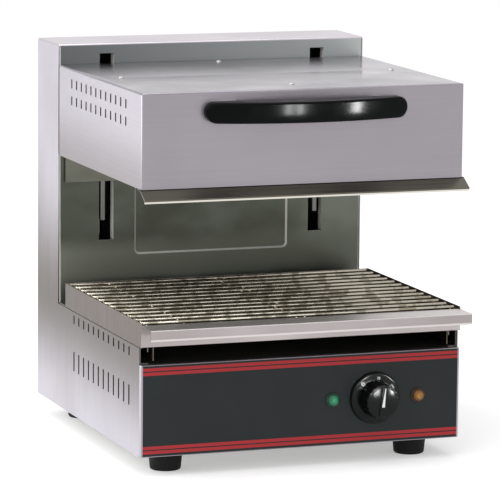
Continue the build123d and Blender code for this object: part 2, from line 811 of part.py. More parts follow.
def make_reflector():
    """Upturned pan above the elements, with a flange on the hood's inward returns."""
    half, y_from, y_to = reflector_span()
    z_low = hood_z + sheet
    z_high = z_low + reflector_height
    slope = reflector_slope
    outer = frustum(half, half - slope, (y_from, y_to), (y_from + slope, y_to - slope),
                    z_low, z_high)
    wall = reflector_sheet
    inner = frustum(half - wall, half - slope - wall, (y_from + wall, y_to - wall),
                    (y_from + slope + wall, y_to - slope - wall), z_low, z_high - wall)
    rim = reflector_margin - return_width / 2
    flange = block(-half - rim, half + rim, y_from - rim, y_to + rim, z_low, z_low + wall)
    flange -= block(-half + wall / 2, half - wall / 2, y_from + wall / 2, y_to - wall / 2,
                    z_low - cut_past, z_low + wall + cut_past)
    pan = outer - inner + flange
    for x in element_leg_places():
        pan -= rod((x, y_to - 2 * slope, element_z()), (0, 1, 0), 3 * slope,
                   element_radius + seam)
    return pan


def make_insulation():
    """Mineral wool mat on the reflector."""
    half, y_from, y_to = reflector_span()
    z = hood_z + sheet + reflector_height
    inset = reflector_slope + return_width / 2
    return block(-half + inset, half - inset, y_from + inset, y_to - inset,
                 z, z + insulation_thickness)


def element_z():
    """Height of the heating elements' centre lines."""
    return hood_z + element_height


def element_pitch():
    """Distance between neighbouring elements' middles."""
    return reflector_span()[0] - element_side_gap - element_leg_spacing / 2


def element_leg_places():
    """X of every straight leg of the heating elements."""
    half = element_leg_spacing / 2
    return [row * element_pitch() + side * half for row in (-1, 0, 1) for side in (-1, 1)]


def element_end_y():
    """Where the elements' tubes end, behind the reflector."""
    return reflector_span()[2] - reflector_slope / 2 + return_width / 2


def make_elements():
    """Three hairpin tube elements, legs running front to back."""
    tubes = []
    half = element_leg_spacing / 2
    front = hood_front_y + element_front_margin
    z = element_z()
    for row in (-1, 0, 1):
        x = row * element_pitch()
        first = Line((x - half, element_end_y(), z), (x - half, front, z))
        bend = ThreePointArc((x - half, front, z), (x, front - half, z), (x + half, front, z))
        second = Line((x + half, front, z), (x + half, element_end_y(), z))
        section = Plane(origin=(x - half, element_end_y(), z), z_dir=(0, -1, 0))
        tubes.append(sweep(section * Circle(element_radius), path=Wire([first, bend, second])))
    return Compound([solid for tube in tubes for solid in tube.solids()])


def make_element_terminals():
    """Ceramic ends on the elements' cold legs."""
    return Compound([rod((x, element_end_y(), element_z()), (0, 1, 0), terminal_length,
                         terminal_radius) for x in element_leg_places()])


def make_element_hangers():
    """Two strips under the elements, hung from the reflector's top."""
    y_from, y_to = reflector_span()[1:]
    top = hood_z + sheet + reflector_height - reflector_sheet
    strip_z = element_z() - element_radius - seam - hanger_thickness
    reach = element_pitch() + element_leg_spacing / 2 + 2 * element_radius
    hangers = []
    for y in (y_from + hanger_front_margin, y_to - hanger_back_margin):
        strip = block(-reach, reach, y - hanger_width / 2, y + hanger_width / 2,
                      strip_z, strip_z + hanger_thickness)
        for side in (-1, 1):
            x = side * element_pitch() / 2
            strip += block(x - hanger_thickness / 2, x + hanger_thickness / 2,
                           y - hanger_width / 2, y + hanger_width / 2, strip_z, top)
        hangers.append(strip)
    return Compound([solid for hanger in hangers for solid in hanger.solids()])


def handle_z():
    """Height of the handle's middle."""
    return hood_z + handle_above


def handle_screw_places():
    """X of the two screws that hold the handle from inside the hood."""
    x = handle_length / 2 - handle_foot / 2
    return -x, x


def make_handle():
    """Moulded bow handle: feet on the hood, a bar that bows forward between them."""
    half = handle_length / 2
    foot_y = hood_front_y
    tip_y = hood_front_y - handle_reach
    side_y = hood_front_y - handle_foot_reach
    gap_half = half - handle_foot
    with BuildSketch() as plan:
        with BuildLine():
            ThreePointArc((-half, side_y), (0, tip_y), (half, side_y))
            Line((half, side_y), (half, foot_y))
            Line((half, foot_y), (gap_half, foot_y))
            ThreePointArc((gap_half, foot_y), (0, tip_y + handle_thickness), (-gap_half, foot_y))
            Line((-gap_half, foot_y), (-half, foot_y))
            Line((-half, foot_y), (-half, side_y))
        make_face()
    z_low = handle_z() - handle_height / 2
    bow = Pos(0, 0, z_low) * extrude(plan.sketch, handle_height)
    front = Plane(origin=(0, hood_front_y, handle_z()), x_dir=(1, 0, 0), z_dir=(0, -1, 0))
    ends = extrude(front * SlotOverall(handle_length, handle_height), handle_reach + cut_past)
    bow = bow & ends
    rim = [edge for edge in bow.edges()
           if abs(edge.center().X) < edge.length / 4 and edge.length > handle_length / 2]
    bow = fillet(rim, handle_edge_radius)
    for x in handle_screw_places():
        bow -= rod((x, hood_front_y + cut_past, handle_z()), (0, -1, 0),
                   handle_screw_depth + 2 * cut_past, handle_screw_radius + screw_clearance)
    return bow


def make_handle_screws():
    """Screws through the hood's front into the handle's feet."""
    y = hood_front_y + sheet
    screws = []
    for x in handle_screw_places():
        shank = rod((x, y, handle_z()), (0, -1, 0), handle_screw_depth + sheet,
                    handle_screw_radius)
        head = rod((x, y, handle_z()), (0, 1, 0), screw_head, handle_screw_head_radius)
        screws.append(shank + head)
    return Compound([solid for screw in screws for solid in screw.solids()])


# ---------------------------------------------------------------- tray and rack
def make_drip_tray():
    """Tray: a pan with a forward lip to pull it by and runners below, and two side walls."""
    front, back = face_y, face_y + tray_depth
    lip_y = front - tray_lip_reach
    with BuildSketch(Plane.YZ) as profile:
        with BuildLine():
            Polyline((lip_y, tray_lip_z), (lip_y, tray_lip_z - tray_lip_drop),
                     (lip_y + tray_sheet, tray_lip_z - tray_lip_drop),
                     (lip_y + tray_sheet, tray_lip_z - tray_sheet),
                     (front, tray_lip_z - tray_sheet), (front, tray_z), (back, tray_z),
                     (back, tray_top_z), (back - tray_sheet, tray_top_z),
                     (back - tray_sheet, tray_z + tray_sheet),
                     (front + tray_sheet, tray_z + tray_sheet),
                     (front + tray_sheet, tray_lip_z), close=True)
        make_face()
        # the sketch's own X and Y run along the model's Y and Z
        fillet(profile.vertices().group_by(Axis.Y)[1], tray_bend - tray_sheet)
        fillet(profile.vertices().group_by(Axis.Y)[0], tray_bend)
        fillet(profile.vertices().group_by(Axis.Y)[-2], tray_lip_bend)
    walls = both_sides(block(half_width - tray_sheet, half_width, front, back, tray_z,
                             tray_top_z))
    pan = Pos(-half_width, 0, 0) * extrude(profile.sketch, width) - walls
    outer = half_width - runner_inset
    for side in (-1, 1):
        inner = outer - sheet
        pan += block(min(side * outer, side * inner), max(side * outer, side * inner),
                     front + rail_end, back - tray_bend - return_width,
                     panel_top_z + runner_gap, tray_z + tray_sheet / 2)
    return Compound([*pan.solids(), *walls.solids()])


def rack_z():
    """Height of the long wires' centre lines, level with the tray's rim at their tops."""
    return tray_top_z - rack_below_rim - wire_radius


def make_rack_ledge():
    """Right-hand strip inside the tray's side wall, just below the wires' ends."""
    outer = half_width - tray_sheet
    top = rack_z() - wire_radius - rack_clearance
    return block(outer - ledge_width, outer, face_y + tray_sheet + ledge_end_gap,
                 face_y + tray_depth - tray_sheet - ledge_end_gap, top - sheet, top)


def make_wire_rack():
    """Wire rack: long wires from side to side, their ends on the ledges, cross wires below."""
    z = rack_z()
    reach = half_width - wire_end_inset
    first = face_y + first_wire
    last = face_y + tray_depth - last_wire_margin
    pitch = (last - first) / (wire_count - 1)
    wires = []
    for index in range(wire_count):
        y = first + index * pitch
        wires.append(rod((-reach, y, z), (1, 0, 0), 2 * reach, wire_radius))
    cross_z = z - wire_radius - cross_wire_radius + weld_depth
    outer = half_width - edge_wire_inset
    inner = half_width - cross_wire_inset
    for x in (-outer, -inner, -centre_wire_offset, centre_wire_offset, inner, outer):
        wires.append(rod((x, first - wire_radius, cross_z), (0, 1, 0),
                         last - first + 2 * wire_radius, cross_wire_radius))
    return wires[0].fuse(*wires[1:])


# ---------------------------------------------------------------- controls
def make_knob():
    """Control knob: bevelled skirt, tapered fluted grip and a raised pointer."""
    back = face_y - knob_standoff
    skirt_front = back - knob_skirt_thickness
    front = skirt_front - knob_grip_length
    with BuildSketch(Plane.XY) as profile:
        with BuildLine():
            Polyline((0, back), (knob_skirt_radius, back),
                     (knob_skirt_radius, back - knob_skirt_edge),
                     (knob_skirt_radius - knob_skirt_bevel, skirt_front),
                     (knob_grip_radius, skirt_front),
                     (knob_grip_radius - knob_taper, front + knob_taper),
                     (knob_grip_radius - 2 * knob_taper, front), (0, front), close=True)
        make_face()
    turned = revolve(profile.sketch, Axis.Y)
    for index in range(knob_flutes):
        flute = rod((0, skirt_front - knob_taper, knob_grip_radius), (0, -1, 0),
                    knob_grip_length, knob_flute_radius)
        turned -= flute.rotate(Axis.Y, 360 * index / knob_flutes)
    bore = rod((0, back + cut_past, 0), (0, -1, 0),
               knob_skirt_thickness + knob_grip_length / 2 + cut_past, shaft_radius + shaft_fit)
    pointer = block(-pointer_width / 2, pointer_width / 2, front - pointer_height / 2,
                    front + pointer_height / 2, pointer_inner_margin,
                    knob_grip_radius - pointer_outer_margin)
    return Pos(knob_x, 0, control_z) * (turned + pointer - bore)


def make_knob_shaft():
    """Control's shaft, from the thermostat's face into the knob."""
    start = face_y + panel_return + seam
    end = face_y - knob_standoff - knob_skirt_thickness - knob_grip_length / 2 + seam
    return rod((knob_x, start, control_z), (0, -1, 0), start - end, shaft_radius)


def make_thermostat():
    """Thermostat behind the panel, with a bush for the shaft and quick-connect tabs."""
    size_x, size_y, size_z = thermostat_size
    start = face_y + panel_return + seam
    body = block(knob_x - size_x / 2, knob_x + size_x / 2, start, start + size_y,
                 control_z - size_z / 2, control_z + size_z / 2)
    bush = rod((knob_x, start, control_z), (0, -1, 0), start - face_y - fascia_thickness,
               thermostat_boss_radius)
    bush -= rod((knob_x, start + cut_past, control_z), (0, -1, 0),
                start - face_y + 2 * cut_past, shaft_radius + shaft_fit)
    body += bush
    for side in (-1, 1):
        x = knob_x + side * size_x / 4
        body += block(x - tab_width / 2, x + tab_width / 2, start + size_y,
                      start + size_y + tab_length, control_z - sheet / 2, control_z + sheet / 2)
    return body


def make_lamp_lens(x):
    """Domed lens with a bezel rim, seated on the fascia."""
    rim_y = face_y - lamp_bezel
    tip_y = rim_y - lamp_dome
    dome_half = lamp_radius - lamp_rim
    with BuildSketch() as profile:
        with BuildLine():
            Polyline((0, tip_y), (0, face_y), (lamp_radius, face_y), (lamp_radius, rim_y),
                     (dome_half, rim_y))
            TangentArc((0, tip_y), (dome_half, rim_y), tangent=(1, 0))
        make_face()
    return Pos(x, 0, control_z) * revolve(profile.sketch, Axis.Y)


def make_lamp_holders():
    """Lamp stems through the panel, with the nuts that hold them."""
    holders = []
    for x in lamp_places():
        stem = rod((x, face_y, control_z), (0, 1, 0), lamp_stem_length, lamp_stem_radius)
        nut_start = face_y + fascia_thickness + sheet
        nut = rod((x, nut_start, control_z), (0, 1, 0), lamp_nut,
                  lamp_stem_radius + lamp_nut_rim)
        holders.extend((stem + nut).solids())
    return Compound(holders)


# ---------------------------------------------------------------- feet
def foot_places():
    """Centres of the four feet."""
    x = half_width - foot_side_inset
    front = face_y + foot_front_inset
    back = back_y - foot_back_inset
    return [(-x, front), (x, front), (-x, back), (x, back)]


def make_feet():
    """Tapered rubber feet, recessed below for their bolts."""
    feet = []
    for x, y in foot_places():
        foot = Pos(x, y, foot_height / 2) * Cone(foot_bottom_radius, foot_top_radius,
                                                 foot_height)
        foot -= rod((x, y, -cut_past), (0, 0, 1), foot_height + 2 * cut_past,
                    foot_bolt_radius + bolt_clearance)
        foot -= rod((x, y, -cut_past), (0, 0, 1), foot_recess + cut_past,
                    foot_bolt_head_radius + 2 * bolt_clearance)
        feet.extend(foot.solids())
    return Compound(feet)


def make_foot_bolts():
    """Bolts through the feet into the base's floor, with nuts above it."""
    bolts = []
    for x, y in foot_places():
        head_z = foot_recess - foot_bolt_head
        head = rod((x, y, head_z), (0, 0, 1), foot_bolt_head, foot_bolt_head_radius)
        top = base_z + sheet + foot_bolt_head
        shank = rod((x, y, foot_recess), (0, 0, 1), top - foot_recess, foot_bolt_radius)
        nut = rod((x, y, base_z + sheet), (0, 0, 1), foot_bolt_head, foot_bolt_head_radius)
        bolts.extend((head + shank + nut).solids())
    return Compound(bolts)


# ---------------------------------------------------------------- supply and wiring
def make_cable_gland():
    """Supply cable's gland through the back sheet, and its nut inside."""
    x = gland_x()
    z = base_z + gland_height
    body = rod((x, back_y, z), (0, 1, 0), gland_flange, gland_flange_radius)
    body += rod((x, back_y, z), (0, 1, 0), gland_reach, gland_radius)
    body += rod((x, back_y, z), (0, -1, 0), gland_inner_length, gland_radius)
    bore = rod((x, back_y + gland_reach + cut_past, z), (0, -1, 0),
               gland_reach + gland_inner_length + 2 * cut_past, gland_bore_radius)
    nut = rod((x, back_y - sheet, z), (0, -1, 0), gland_nut, gland_nut_radius)
    return body + nut - bore


def make_terminal_block():
    """Terminal block on the base's floor, near the gland."""
    size_x, size_y, size_z = terminal_block_size
    x = gland_x() - size_x
    y = back_y - terminal_block_set_back
    z = base_z + sheet
    body = block(x - size_x / 2, x + size_x / 2, y - size_y / 2, y + size_y / 2, z, z + size_z)
    for way in range(terminal_ways):
        hole_x = x + ((way + 0.5) / terminal_ways - 0.5) * size_x
        body -= rod((hole_x, y, z + size_z + cut_past), (0, 0, -1),
                    terminal_hole_depth + cut_past, screw_radius)
    return body


def terminal_block_back():
    """Middle of the terminal block's back face."""
    size_x, size_y, size_z = terminal_block_size
    return (gland_x() - size_x, back_y - terminal_block_set_back + size_y / 2,
            base_z + sheet + size_z / 2)


def lead_y():
    """Depth of the hood lead's loop, between the column's front and the crossbar."""
    return column_y + slot_return + lead_radius


def make_lead_clip():
    """Block on the back of the column's front that holds the fixed end of the hood's lead."""
    width_x, height_z = clip_size
    x = -lead_half_spread - width_x / 4
    z = base_z + lead_clip_height
    return block(x - width_x / 2, x + width_x / 2, column_y + emboss_depth + sheet + plate_gap,
                 lead_y() + lead_radius + sheet, z, z + height_z)


def make_base_loom():
    """Wiring from the terminal block up to the lead's clip."""
    start_x, start_y, start_z = terminal_block_back()
    end_x = -lead_half_spread - clip_size[0] / 2
    rise_y = lead_y()
    behind = rise_y + loom_set_back
    points = [(start_x, start_y, start_z), (start_x, behind, start_z),
              (end_x, behind, start_z + loom_first_rise),
              (end_x, rise_y, start_z + loom_second_rise),
              (end_x, rise_y, base_z + lead_clip_height)]
    return tube_along(points, [loom_bend] * (len(points) - 2), loom_radius)


def make_hood_lead():
    """Flexible lead that hangs in a loop from its clip to the carriage."""
    y = lead_y()
    top = base_z + lead_clip_height
    low = top - lead_drop - lead_half_spread
    x = lead_half_spread
    down = Line((-x, y, top), (-x, y, low + x))
    turn = ThreePointArc((-x, y, low + x), (0, y, low), (x, y, low + x))
    up = Line((x, y, low + x), (x, y, crossbar_z))
    section = Plane(origin=(-x, y, top), z_dir=(0, 0, -1)) * Circle(lead_radius)
    return sweep(section, path=Wire([down, turn, up]))


def make_carriage_terminal():
    """Terminal box on the crossbar where the hood's lead ends."""
    width_x, height_z = carriage_terminal_size
    x = lead_half_spread
    bar_front = pulley_y - pulley_pitch_radius - crossbar_thickness / 2
    return block(x - width_x / 2, x + width_x / 2, lead_y() - lead_radius - sheet, bar_front,
                 crossbar_z, crossbar_z + height_z)


# ---------------------------------------------------------------- screws
def make_rear_screws():
    """Pan head screws of the back sheet."""
    screws = [pan_head_screw(place, (0, 1, 0), screw_length) for place in rear_screw_places()]
    return both_sides(Compound([solid for screw in screws for solid in screw.solids()]))


def make_lid_screws():
    """Pan head screws of the hood's lid, with nuts under the stiffener."""
    screws = []
    for x, y in lid_screw_places():
        screw = pan_head_screw((x, y, hood_top_z), (0, 0, 1), screw_length)
        nut_top = hood_top_z - 2 * sheet
        screw += rod((x, y, nut_top), (0, 0, -1), lid_nut, screw_head_radius)
        screws.extend(screw.solids())
    return Compound(screws)


# ---------------------------------------------------------------- assembly
def make_left(shape):
    """The left-hand twin of a right-hand piece."""
    return shape.mirror(Plane.YZ)


def make_all():
    """Make every piece once and keep it under its node name."""
    side = make_side_panel()
    nodes["side_panel_left"] = make_left(side)
    nodes["side_panel_right"] = side
    nodes["base_floor"] = make_base_floor()
    nodes["front_panel"] = make_front_panel()
    nodes["control_fascia"] = make_fascia()
    nodes["base_deck"] = make_base_deck()
    rail = make_tray_rail()
    nodes["tray_rail_left"] = make_left(rail)
    nodes["tray_rail_right"] = rail
    nodes["column_front"] = make_column_front()
    nodes["column_back"] = make_column_back()
    nodes["column_top"] = make_column_top()
    nodes["lower_beam"] = make_beam(lower_beam_top_z - beam_thickness, lower_beam_top_z,
                                    beam_front_y())
    nodes["top_beam"] = make_beam(beam_z, beam_top_z, beam_front_y())
    nodes["guide_rods"] = both_sides(make_guide_rod())
    nodes["rod_clamps"] = make_rod_clamps()
    nodes["weight_guide_rods"] = both_sides(make_weight_rod())
    nodes["stop_buffers"] = both_sides(make_stop_buffer())
    nodes["pulley_brackets"] = both_sides(make_pulley_bracket())
    nodes["pulley_pins"] = both_sides(make_pulley_pin())
    cable = make_lift_cable()
    nodes["lift_cable_left"] = make_left(cable)
    nodes["lift_cable_right"] = cable
    nodes["thermostat"] = make_thermostat()
    green_x, amber_x = lamp_places()
    nodes["green_lamp"] = make_lamp_lens(green_x)
    nodes["amber_lamp"] = make_lamp_lens(amber_x)
    nodes["lamp_holders"] = make_lamp_holders()
    nodes["terminal_block"] = make_terminal_block()
    nodes["cable_gland"] = make_cable_gland()
    nodes["base_loom"] = make_base_loom()
    nodes["lead_clip"] = make_lead_clip()
    nodes["hood_lead"] = make_hood_lead()
    nodes["rear_screws"] = make_rear_screws()
    nodes["rubber_feet"] = make_feet()
    nodes["foot_bolts"] = make_foot_bolts()

    nodes["hood_wrap"] = make_hood_wrap()
    nodes["hood_top"] = make_hood_top()
    nodes["hood_stiffener"] = make_hood_stiffener()
    nodes["hood_back_plate"] = make_hood_back_plate()
    nodes["hood_lip"] = make_hood_lip()
    nodes["hood_reflector"] = make_reflector()
    nodes["hood_insulation"] = make_insulation()
    nodes["heating_elements"] = make_elements()
    nodes["element_terminals"] = make_element_terminals()
    nodes["element_hangers"] = make_element_hangers()
    nodes["hood_handle"] = make_handle()
    nodes["handle_screws"] = make_handle_screws()
    nodes["lid_screws"] = make_lid_screws()
    arm = make_lift_arm()
    nodes["lift_arm_left"] = make_left(arm)
    nodes["lift_arm_right"] = arm
    nodes["slide_blocks"] = both_sides(make_slide_block())
    nodes["guide_bushes"] = make_guide_bushes()
    nodes["carriage_crossbar"] = make_crossbar()
    nodes["carriage_terminal"] = make_carriage_terminal()

    nodes["counterweight"] = make_counterweight()
    pulley = make_pulley()
    nodes["pulley_left"] = make_left(pulley)
    nodes["pulley_right"] = pulley

    nodes["drip_tray"] = make_drip_tray()
    nodes["rack_ledges"] = both_sides(make_rack_ledge())
    nodes["wire_rack"] = make_wire_rack()
    nodes["control_knob"] = make_knob()
    nodes["knob_shaft"] = make_knob_shaft()


make_all()
os.makedirs("parts", exist_ok=True)
for name, shape in nodes.items():
    export_step(shape, f"parts/{name}.step")

lead_length = 2 * lead_drop + pi * lead_half_spread + crossbar_z - base_z - lead_clip_height
print(f"{len(nodes)} nodes, hood lead {lead_length:.0f} mm, bend radius {lead_half_spread:.0f} mm")
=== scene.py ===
"""Looks of a counter-top lift cheese melter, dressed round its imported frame.

The frame is in metres: +X to the user's right, -Y to the user, +Z up, floor at Z = 0. Sheet metal
stays as the frame has it and gets its finish here; the handle, knob, lamps, rack, lid, feet, screws
and cable gland are modelled in its place.
"""
from __future__ import annotations

import json
import logging
import math
from contextlib import contextmanager
from dataclasses import dataclass
from enum import Enum
from typing import Callable, Iterator, Sequence

import bpy
from mathutils import Matrix, Vector, noise

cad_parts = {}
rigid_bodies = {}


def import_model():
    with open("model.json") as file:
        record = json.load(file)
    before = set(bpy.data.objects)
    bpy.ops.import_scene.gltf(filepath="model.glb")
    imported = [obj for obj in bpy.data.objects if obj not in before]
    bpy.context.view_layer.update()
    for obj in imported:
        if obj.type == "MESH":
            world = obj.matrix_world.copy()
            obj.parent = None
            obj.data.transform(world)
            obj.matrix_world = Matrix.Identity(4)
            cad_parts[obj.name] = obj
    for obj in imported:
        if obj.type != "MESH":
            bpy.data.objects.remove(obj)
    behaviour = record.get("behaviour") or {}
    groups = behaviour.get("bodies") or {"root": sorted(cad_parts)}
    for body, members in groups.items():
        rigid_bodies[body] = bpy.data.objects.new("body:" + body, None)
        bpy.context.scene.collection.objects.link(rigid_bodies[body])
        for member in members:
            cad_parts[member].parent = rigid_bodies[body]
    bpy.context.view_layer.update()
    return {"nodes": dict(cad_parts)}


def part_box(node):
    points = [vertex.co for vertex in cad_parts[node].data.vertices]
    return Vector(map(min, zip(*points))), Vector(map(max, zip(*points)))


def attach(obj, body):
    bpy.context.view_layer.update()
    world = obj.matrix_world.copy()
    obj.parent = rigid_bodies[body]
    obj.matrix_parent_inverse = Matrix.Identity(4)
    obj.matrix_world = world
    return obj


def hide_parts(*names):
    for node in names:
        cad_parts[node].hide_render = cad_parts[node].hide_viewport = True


LOG = logging.getLogger("cheese_melter")
MM = 0.001
HAIR = 1e-6              # slack when two places are compared, in metres
X, Y, Z = range(3)
Shape = bpy.types.Object
Tree = bpy.types.NodeTree
Socket = bpy.types.NodeSocket
Span = tuple[float, float]
EdgeTest = Callable[[Vector, Vector], bool]


# ------------------------------------------------------------------ colour and nodes
def linear(hex_colour: str) -> tuple[float, float, float, float]:
    """Turn an sRGB hex colour with a leading # into Blender's opaque linear colour.

    Args:
        hex_colour: six hex digits after a #.

    Returns:
        Linear red, green, blue and alpha.
    """
    channels = []
    for start in (1, 3, 5):
        value = int(hex_colour[start:start + 2], 16) / 255
        channels.append(value / 12.92 if value <= 0.04045 else ((value + 0.055) / 1.055) ** 2.4)
    return channels[0], channels[1], channels[2], 1.0


def add_node(tree: Tree, kind: str, settings: dict | None = None, inputs: dict | None = None,
             output: int | str = 0) -> Socket | None:
    """Add a node with its settings and its inputs.

    Args:
        tree: node tree that gets the node.
        kind: Blender's name for the node's type, without ShaderNode in front.
        settings: properties of the node.
        inputs: values or sockets by input name or number; a socket is linked.
        output: name or number of the output to return.

    Returns:
        That output, or None for a node that has none.
    """
    node = tree.nodes.new(f"ShaderNode{kind}")
    for name, value in (settings or {}).items():
        setattr(node, name, value)
    for name, value in (inputs or {}).items():
        if isinstance(value, Socket):
            tree.links.new(value, node.inputs[name])
        else:
            node.inputs[name].default_value = value
    return node.outputs[output] if node.outputs else None


def bare_tree(holder: bpy.types.Material | bpy.types.World) -> Tree:
    """Node tree of a new material or world, without the nodes that it starts with.

    Args:
        holder: the material or world.

    Returns:
        Its tree, empty.
    """
    holder.use_nodes = True
    holder.node_tree.nodes.clear()
    return holder.node_tree


def place_along(tree: Tree, axis: str) -> Socket:
    """Object coordinate along one axis, in metres."""
    place = add_node(tree, "TexCoord", output="Object")
    return add_node(tree, "SeparateXYZ", inputs={"Vector": place}, output=axis)


def pattern(tree: Tree, size_mm: float | Sequence[float], detail: float = 2.0,
            fineness: float = 0.5) -> Socket:
    """Random pattern on object coordinates, from 0 to 1.

    Args:
        tree: the material's tree.
        size_mm: size of its spots, the same every way or along X, Y and Z.
        detail: how many finer layers it has.
        fineness: how much the finer layers count.

    Returns:
        The pattern's value.
    """
    sizes = (size_mm,) * 3 if isinstance(size_mm, float) else size_mm
    place = add_node(tree, "TexCoord", output="Object")
    spots = add_node(tree, "Mapping", inputs={"Vector": place,
                                              "Scale": [1000 / size for size in sizes]})
    return add_node(tree, "TexNoise", inputs={"Vector": spots, "Scale": 1.0, "Detail": detail,
                                              "Roughness": fineness})


def share_of(tree: Tree, value: Socket, rise: Span | None = None, fall: Span | None = None,
             smooth: bool = False) -> Socket:
    """Share that a value gives: 0 to 1 over the rise, 1 to 0 over the fall, or both.

    Args:
        tree: the material's tree.
        value: what the share follows.
        rise: values between which the share rises.
        fall: values between which it falls again.
        smooth: whether it eases in and out.

    Returns:
        The share.
    """
    shares = [add_node(tree, "MapRange",
                       {"interpolation_type": "SMOOTHSTEP" if smooth else "LINEAR"},
                       {"Value": value, "From Min": span[0], "From Max": span[1],
                        "To Min": start, "To Max": 1.0 - start})
              for span, start in ((rise, 0.0), (fall, 1.0)) if span]
    if len(shares) == 1:
        return shares[0]
    return add_node(tree, "Math", {"operation": "MULTIPLY"}, dict(enumerate(shares)))


def facing(tree: Tree, axis: str, rise: Span) -> Socket:
    """1 where the surface faces along an axis, either way, and 0 where it is turned away.

    Args:
        tree: the material's tree.
        axis: X, Y or Z.
        rise: parts of the normal between which the share rises.

    Returns:
        The share.
    """
    normal = add_node(tree, "TexCoord", output="Normal")
    part = add_node(tree, "SeparateXYZ", inputs={"Vector": normal}, output=axis)
    return share_of(tree, add_node(tree, "Math", {"operation": "ABSOLUTE"}, {0: part}), rise)


def blend(tree: Tree, share: Socket, first: str | Socket, second: str | Socket,
          span: Span | None = None, smooth: bool = True) -> Socket:
    """Blend two tones, hex colours or sockets, by a share or by a span of a pattern's values.

    Args:
        tree: the material's tree.
        share: share of the second tone, or the pattern that gives it.
        first: tone at share 0.
        second: tone at share 1.
        span: values of the pattern between which the share rises.
        smooth: whether the share eases in and out.

    Returns:
        The blended tone.
    """
    if span:
        share = share_of(tree, share, span, smooth=smooth)
    tones = [linear(tone) if isinstance(tone, str) else tone for tone in (first, second)]
    return add_node(tree, "Mix", {"data_type": "RGBA"}, {0: share, 6: tones[0], 7: tones[1]}, 2)


def feel(tree: Tree, gloss_by: Socket, gloss: Span, relief_by: Socket, strength: float,
         depth_mm: float, span: Span = (0.3, 0.7)) -> dict:
    """Roughness and relief of a surface, as shader inputs.

    Args:
        tree: the material's tree.
        gloss_by: pattern that the roughness follows.
        gloss: roughness at both ends of the span.
        relief_by: pattern that the relief follows.
        strength: strength of the relief.
        depth_mm: depth of the relief.
        span: values of the pattern between which the roughness changes.

    Returns:
        The two inputs by name.
    """
    roughness = add_node(tree, "MapRange", inputs={
        "Value": gloss_by, "From Min": span[0], "From Max": span[1], "To Min": gloss[0],
        "To Max": gloss[1]})
    relief = add_node(tree, "Bump", inputs={"Height": relief_by, "Strength": strength,
                                            "Distance": depth_mm * MM})
    return {"Roughness": roughness, "Normal": relief}


# ------------------------------------------------------------------ finishes
PATCHES = (0.35, 0.7)    # values of a soft pattern between one tone and the other
EDGE_BLUR = 0.3 * MM     # how sharply one zone of a sheet ends at another


class Grain(Enum):
    """Which way a sheet's brushed grain runs, as the size of its lines along X, Y and Z in mm.

    The real grain is 0.1 mm wide, too fine to show, so it is drawn about 1.3 mm wide.
    """

    LEVEL = (142.86, 142.86, 1.3158)      # round front and sides, level
    UPRIGHT = (1.3158, 1.3158, 142.86)    # up a side or back
    ACROSS = (142.86, 1.3158, 142.86)     # left to right on a flat lid or floor
    BACKWARD = (1.3158, 142.86, 142.86)   # front to back


@dataclass(frozen=True)
class PaintedShadeBand:
    """Band of a sheet at one height, painted darker and warmer: painted shade."""

    colour: str
    height: float
    above: float
    below: float

    def share(self, tree: Tree) -> Socket:
        """How much of the band's colour a place takes, fading out above and below."""
        return share_of(tree, place_along(tree, "Z"), (self.height - self.below, self.height),
                        (self.height, self.height + self.above), True)


@dataclass(frozen=True)
class PaintedReflectionZone:
    """Head or foot of a sheet with a painted reflection, its tone changing from left to right."""

    left: str
    right: str
    start: float
    end: float
    half_width: float

    def over(self, tree: Tree, colour: Socket) -> Socket:
        """Lay the zone over a sheet's colour: none at its start, all at its end.

        Args:
            tree: the material's tree.
            colour: the sheet's colour.

        Returns:
            The colour with the zone on it.
        """
        share = share_of(tree, place_along(tree, "Z"), (self.start, self.end), smooth=True)
        tint = blend(tree, place_along(tree, "X"), self.left, self.right,
                     (-self.half_width, self.half_width), False)
        return blend(tree, share, colour, tint)


@dataclass(frozen=True)
class Finish:
    """A surface: its name, its main tone and the second tone that it shifts to."""

    name: str
    colour: str
    second: str

    def surface(self, tree: Tree) -> dict:
        """Shader inputs that make the finish, by name."""
        raise NotImplementedError

    def build(self) -> bpy.types.Material:
        """Make the material with one Principled shader, or take it if it was made before.

        Returns:
            The material.
        """
        if self.name in bpy.data.materials:
            return bpy.data.materials[self.name]
        material = bpy.data.materials.new(self.name)
        tree = bare_tree(material)
        shader = add_node(tree, "BsdfPrincipled", inputs=self.surface(tree))
        add_node(tree, "OutputMaterial", inputs={"Surface": shader})
        return material


@dataclass(frozen=True)
class BrushedSheet(Finish):
    """Stainless sheet, brushed by a belt: fine straight grain, soft clouds where it was handled."""

    roughness: float
    grain: Grain
    grain_depth: float = 0.05
    cloud_mm: float = 140.0
    streak: float = 0.035
    # Optional band of painted shade.
    shade_band: PaintedShadeBand | None = None
    # Optional lighter tone for faces turned to the sides: painted light.
    side: str | None = None

    def surface(self, tree: Tree) -> dict:
        """The grain moves colour, gloss and relief together.

        Args:
            tree: the material's tree.

        Returns:
            The shader's inputs by name.
        """
        grain = pattern(tree, self.grain.value, 4.0, 0.6)
        tint = blend(tree, pattern(tree, self.cloud_mm), self.colour, self.second, PATCHES)
        share = self.shade_band.share(tree) if self.shade_band else None
        # Painted light: faces turned to the sides take a lighter tone, and the shade band stays on
        # them.
        if self.side:
            sideways = facing(tree, "X", (0.4, 0.6))
            tint = blend(tree, sideways, tint, self.side)
            if share is not None:
                share = add_node(tree, "Math", {"operation": "MULTIPLY"}, {0: share, 1: sideways})
        if share is not None:
            tint = blend(tree, share, tint, self.shade_band.colour)
        dark = add_node(tree, "HueSaturation",
                        inputs={"Color": tint, "Value": 1.0 - 2 * self.streak})
        return {"Base Color": blend(tree, grain, dark, tint, (0.35, 0.65), False), "Metallic": 1.0,
                **feel(tree, grain, (self.roughness * 1.18, self.roughness * 0.86), grain,
                       self.grain_depth, 0.25)}


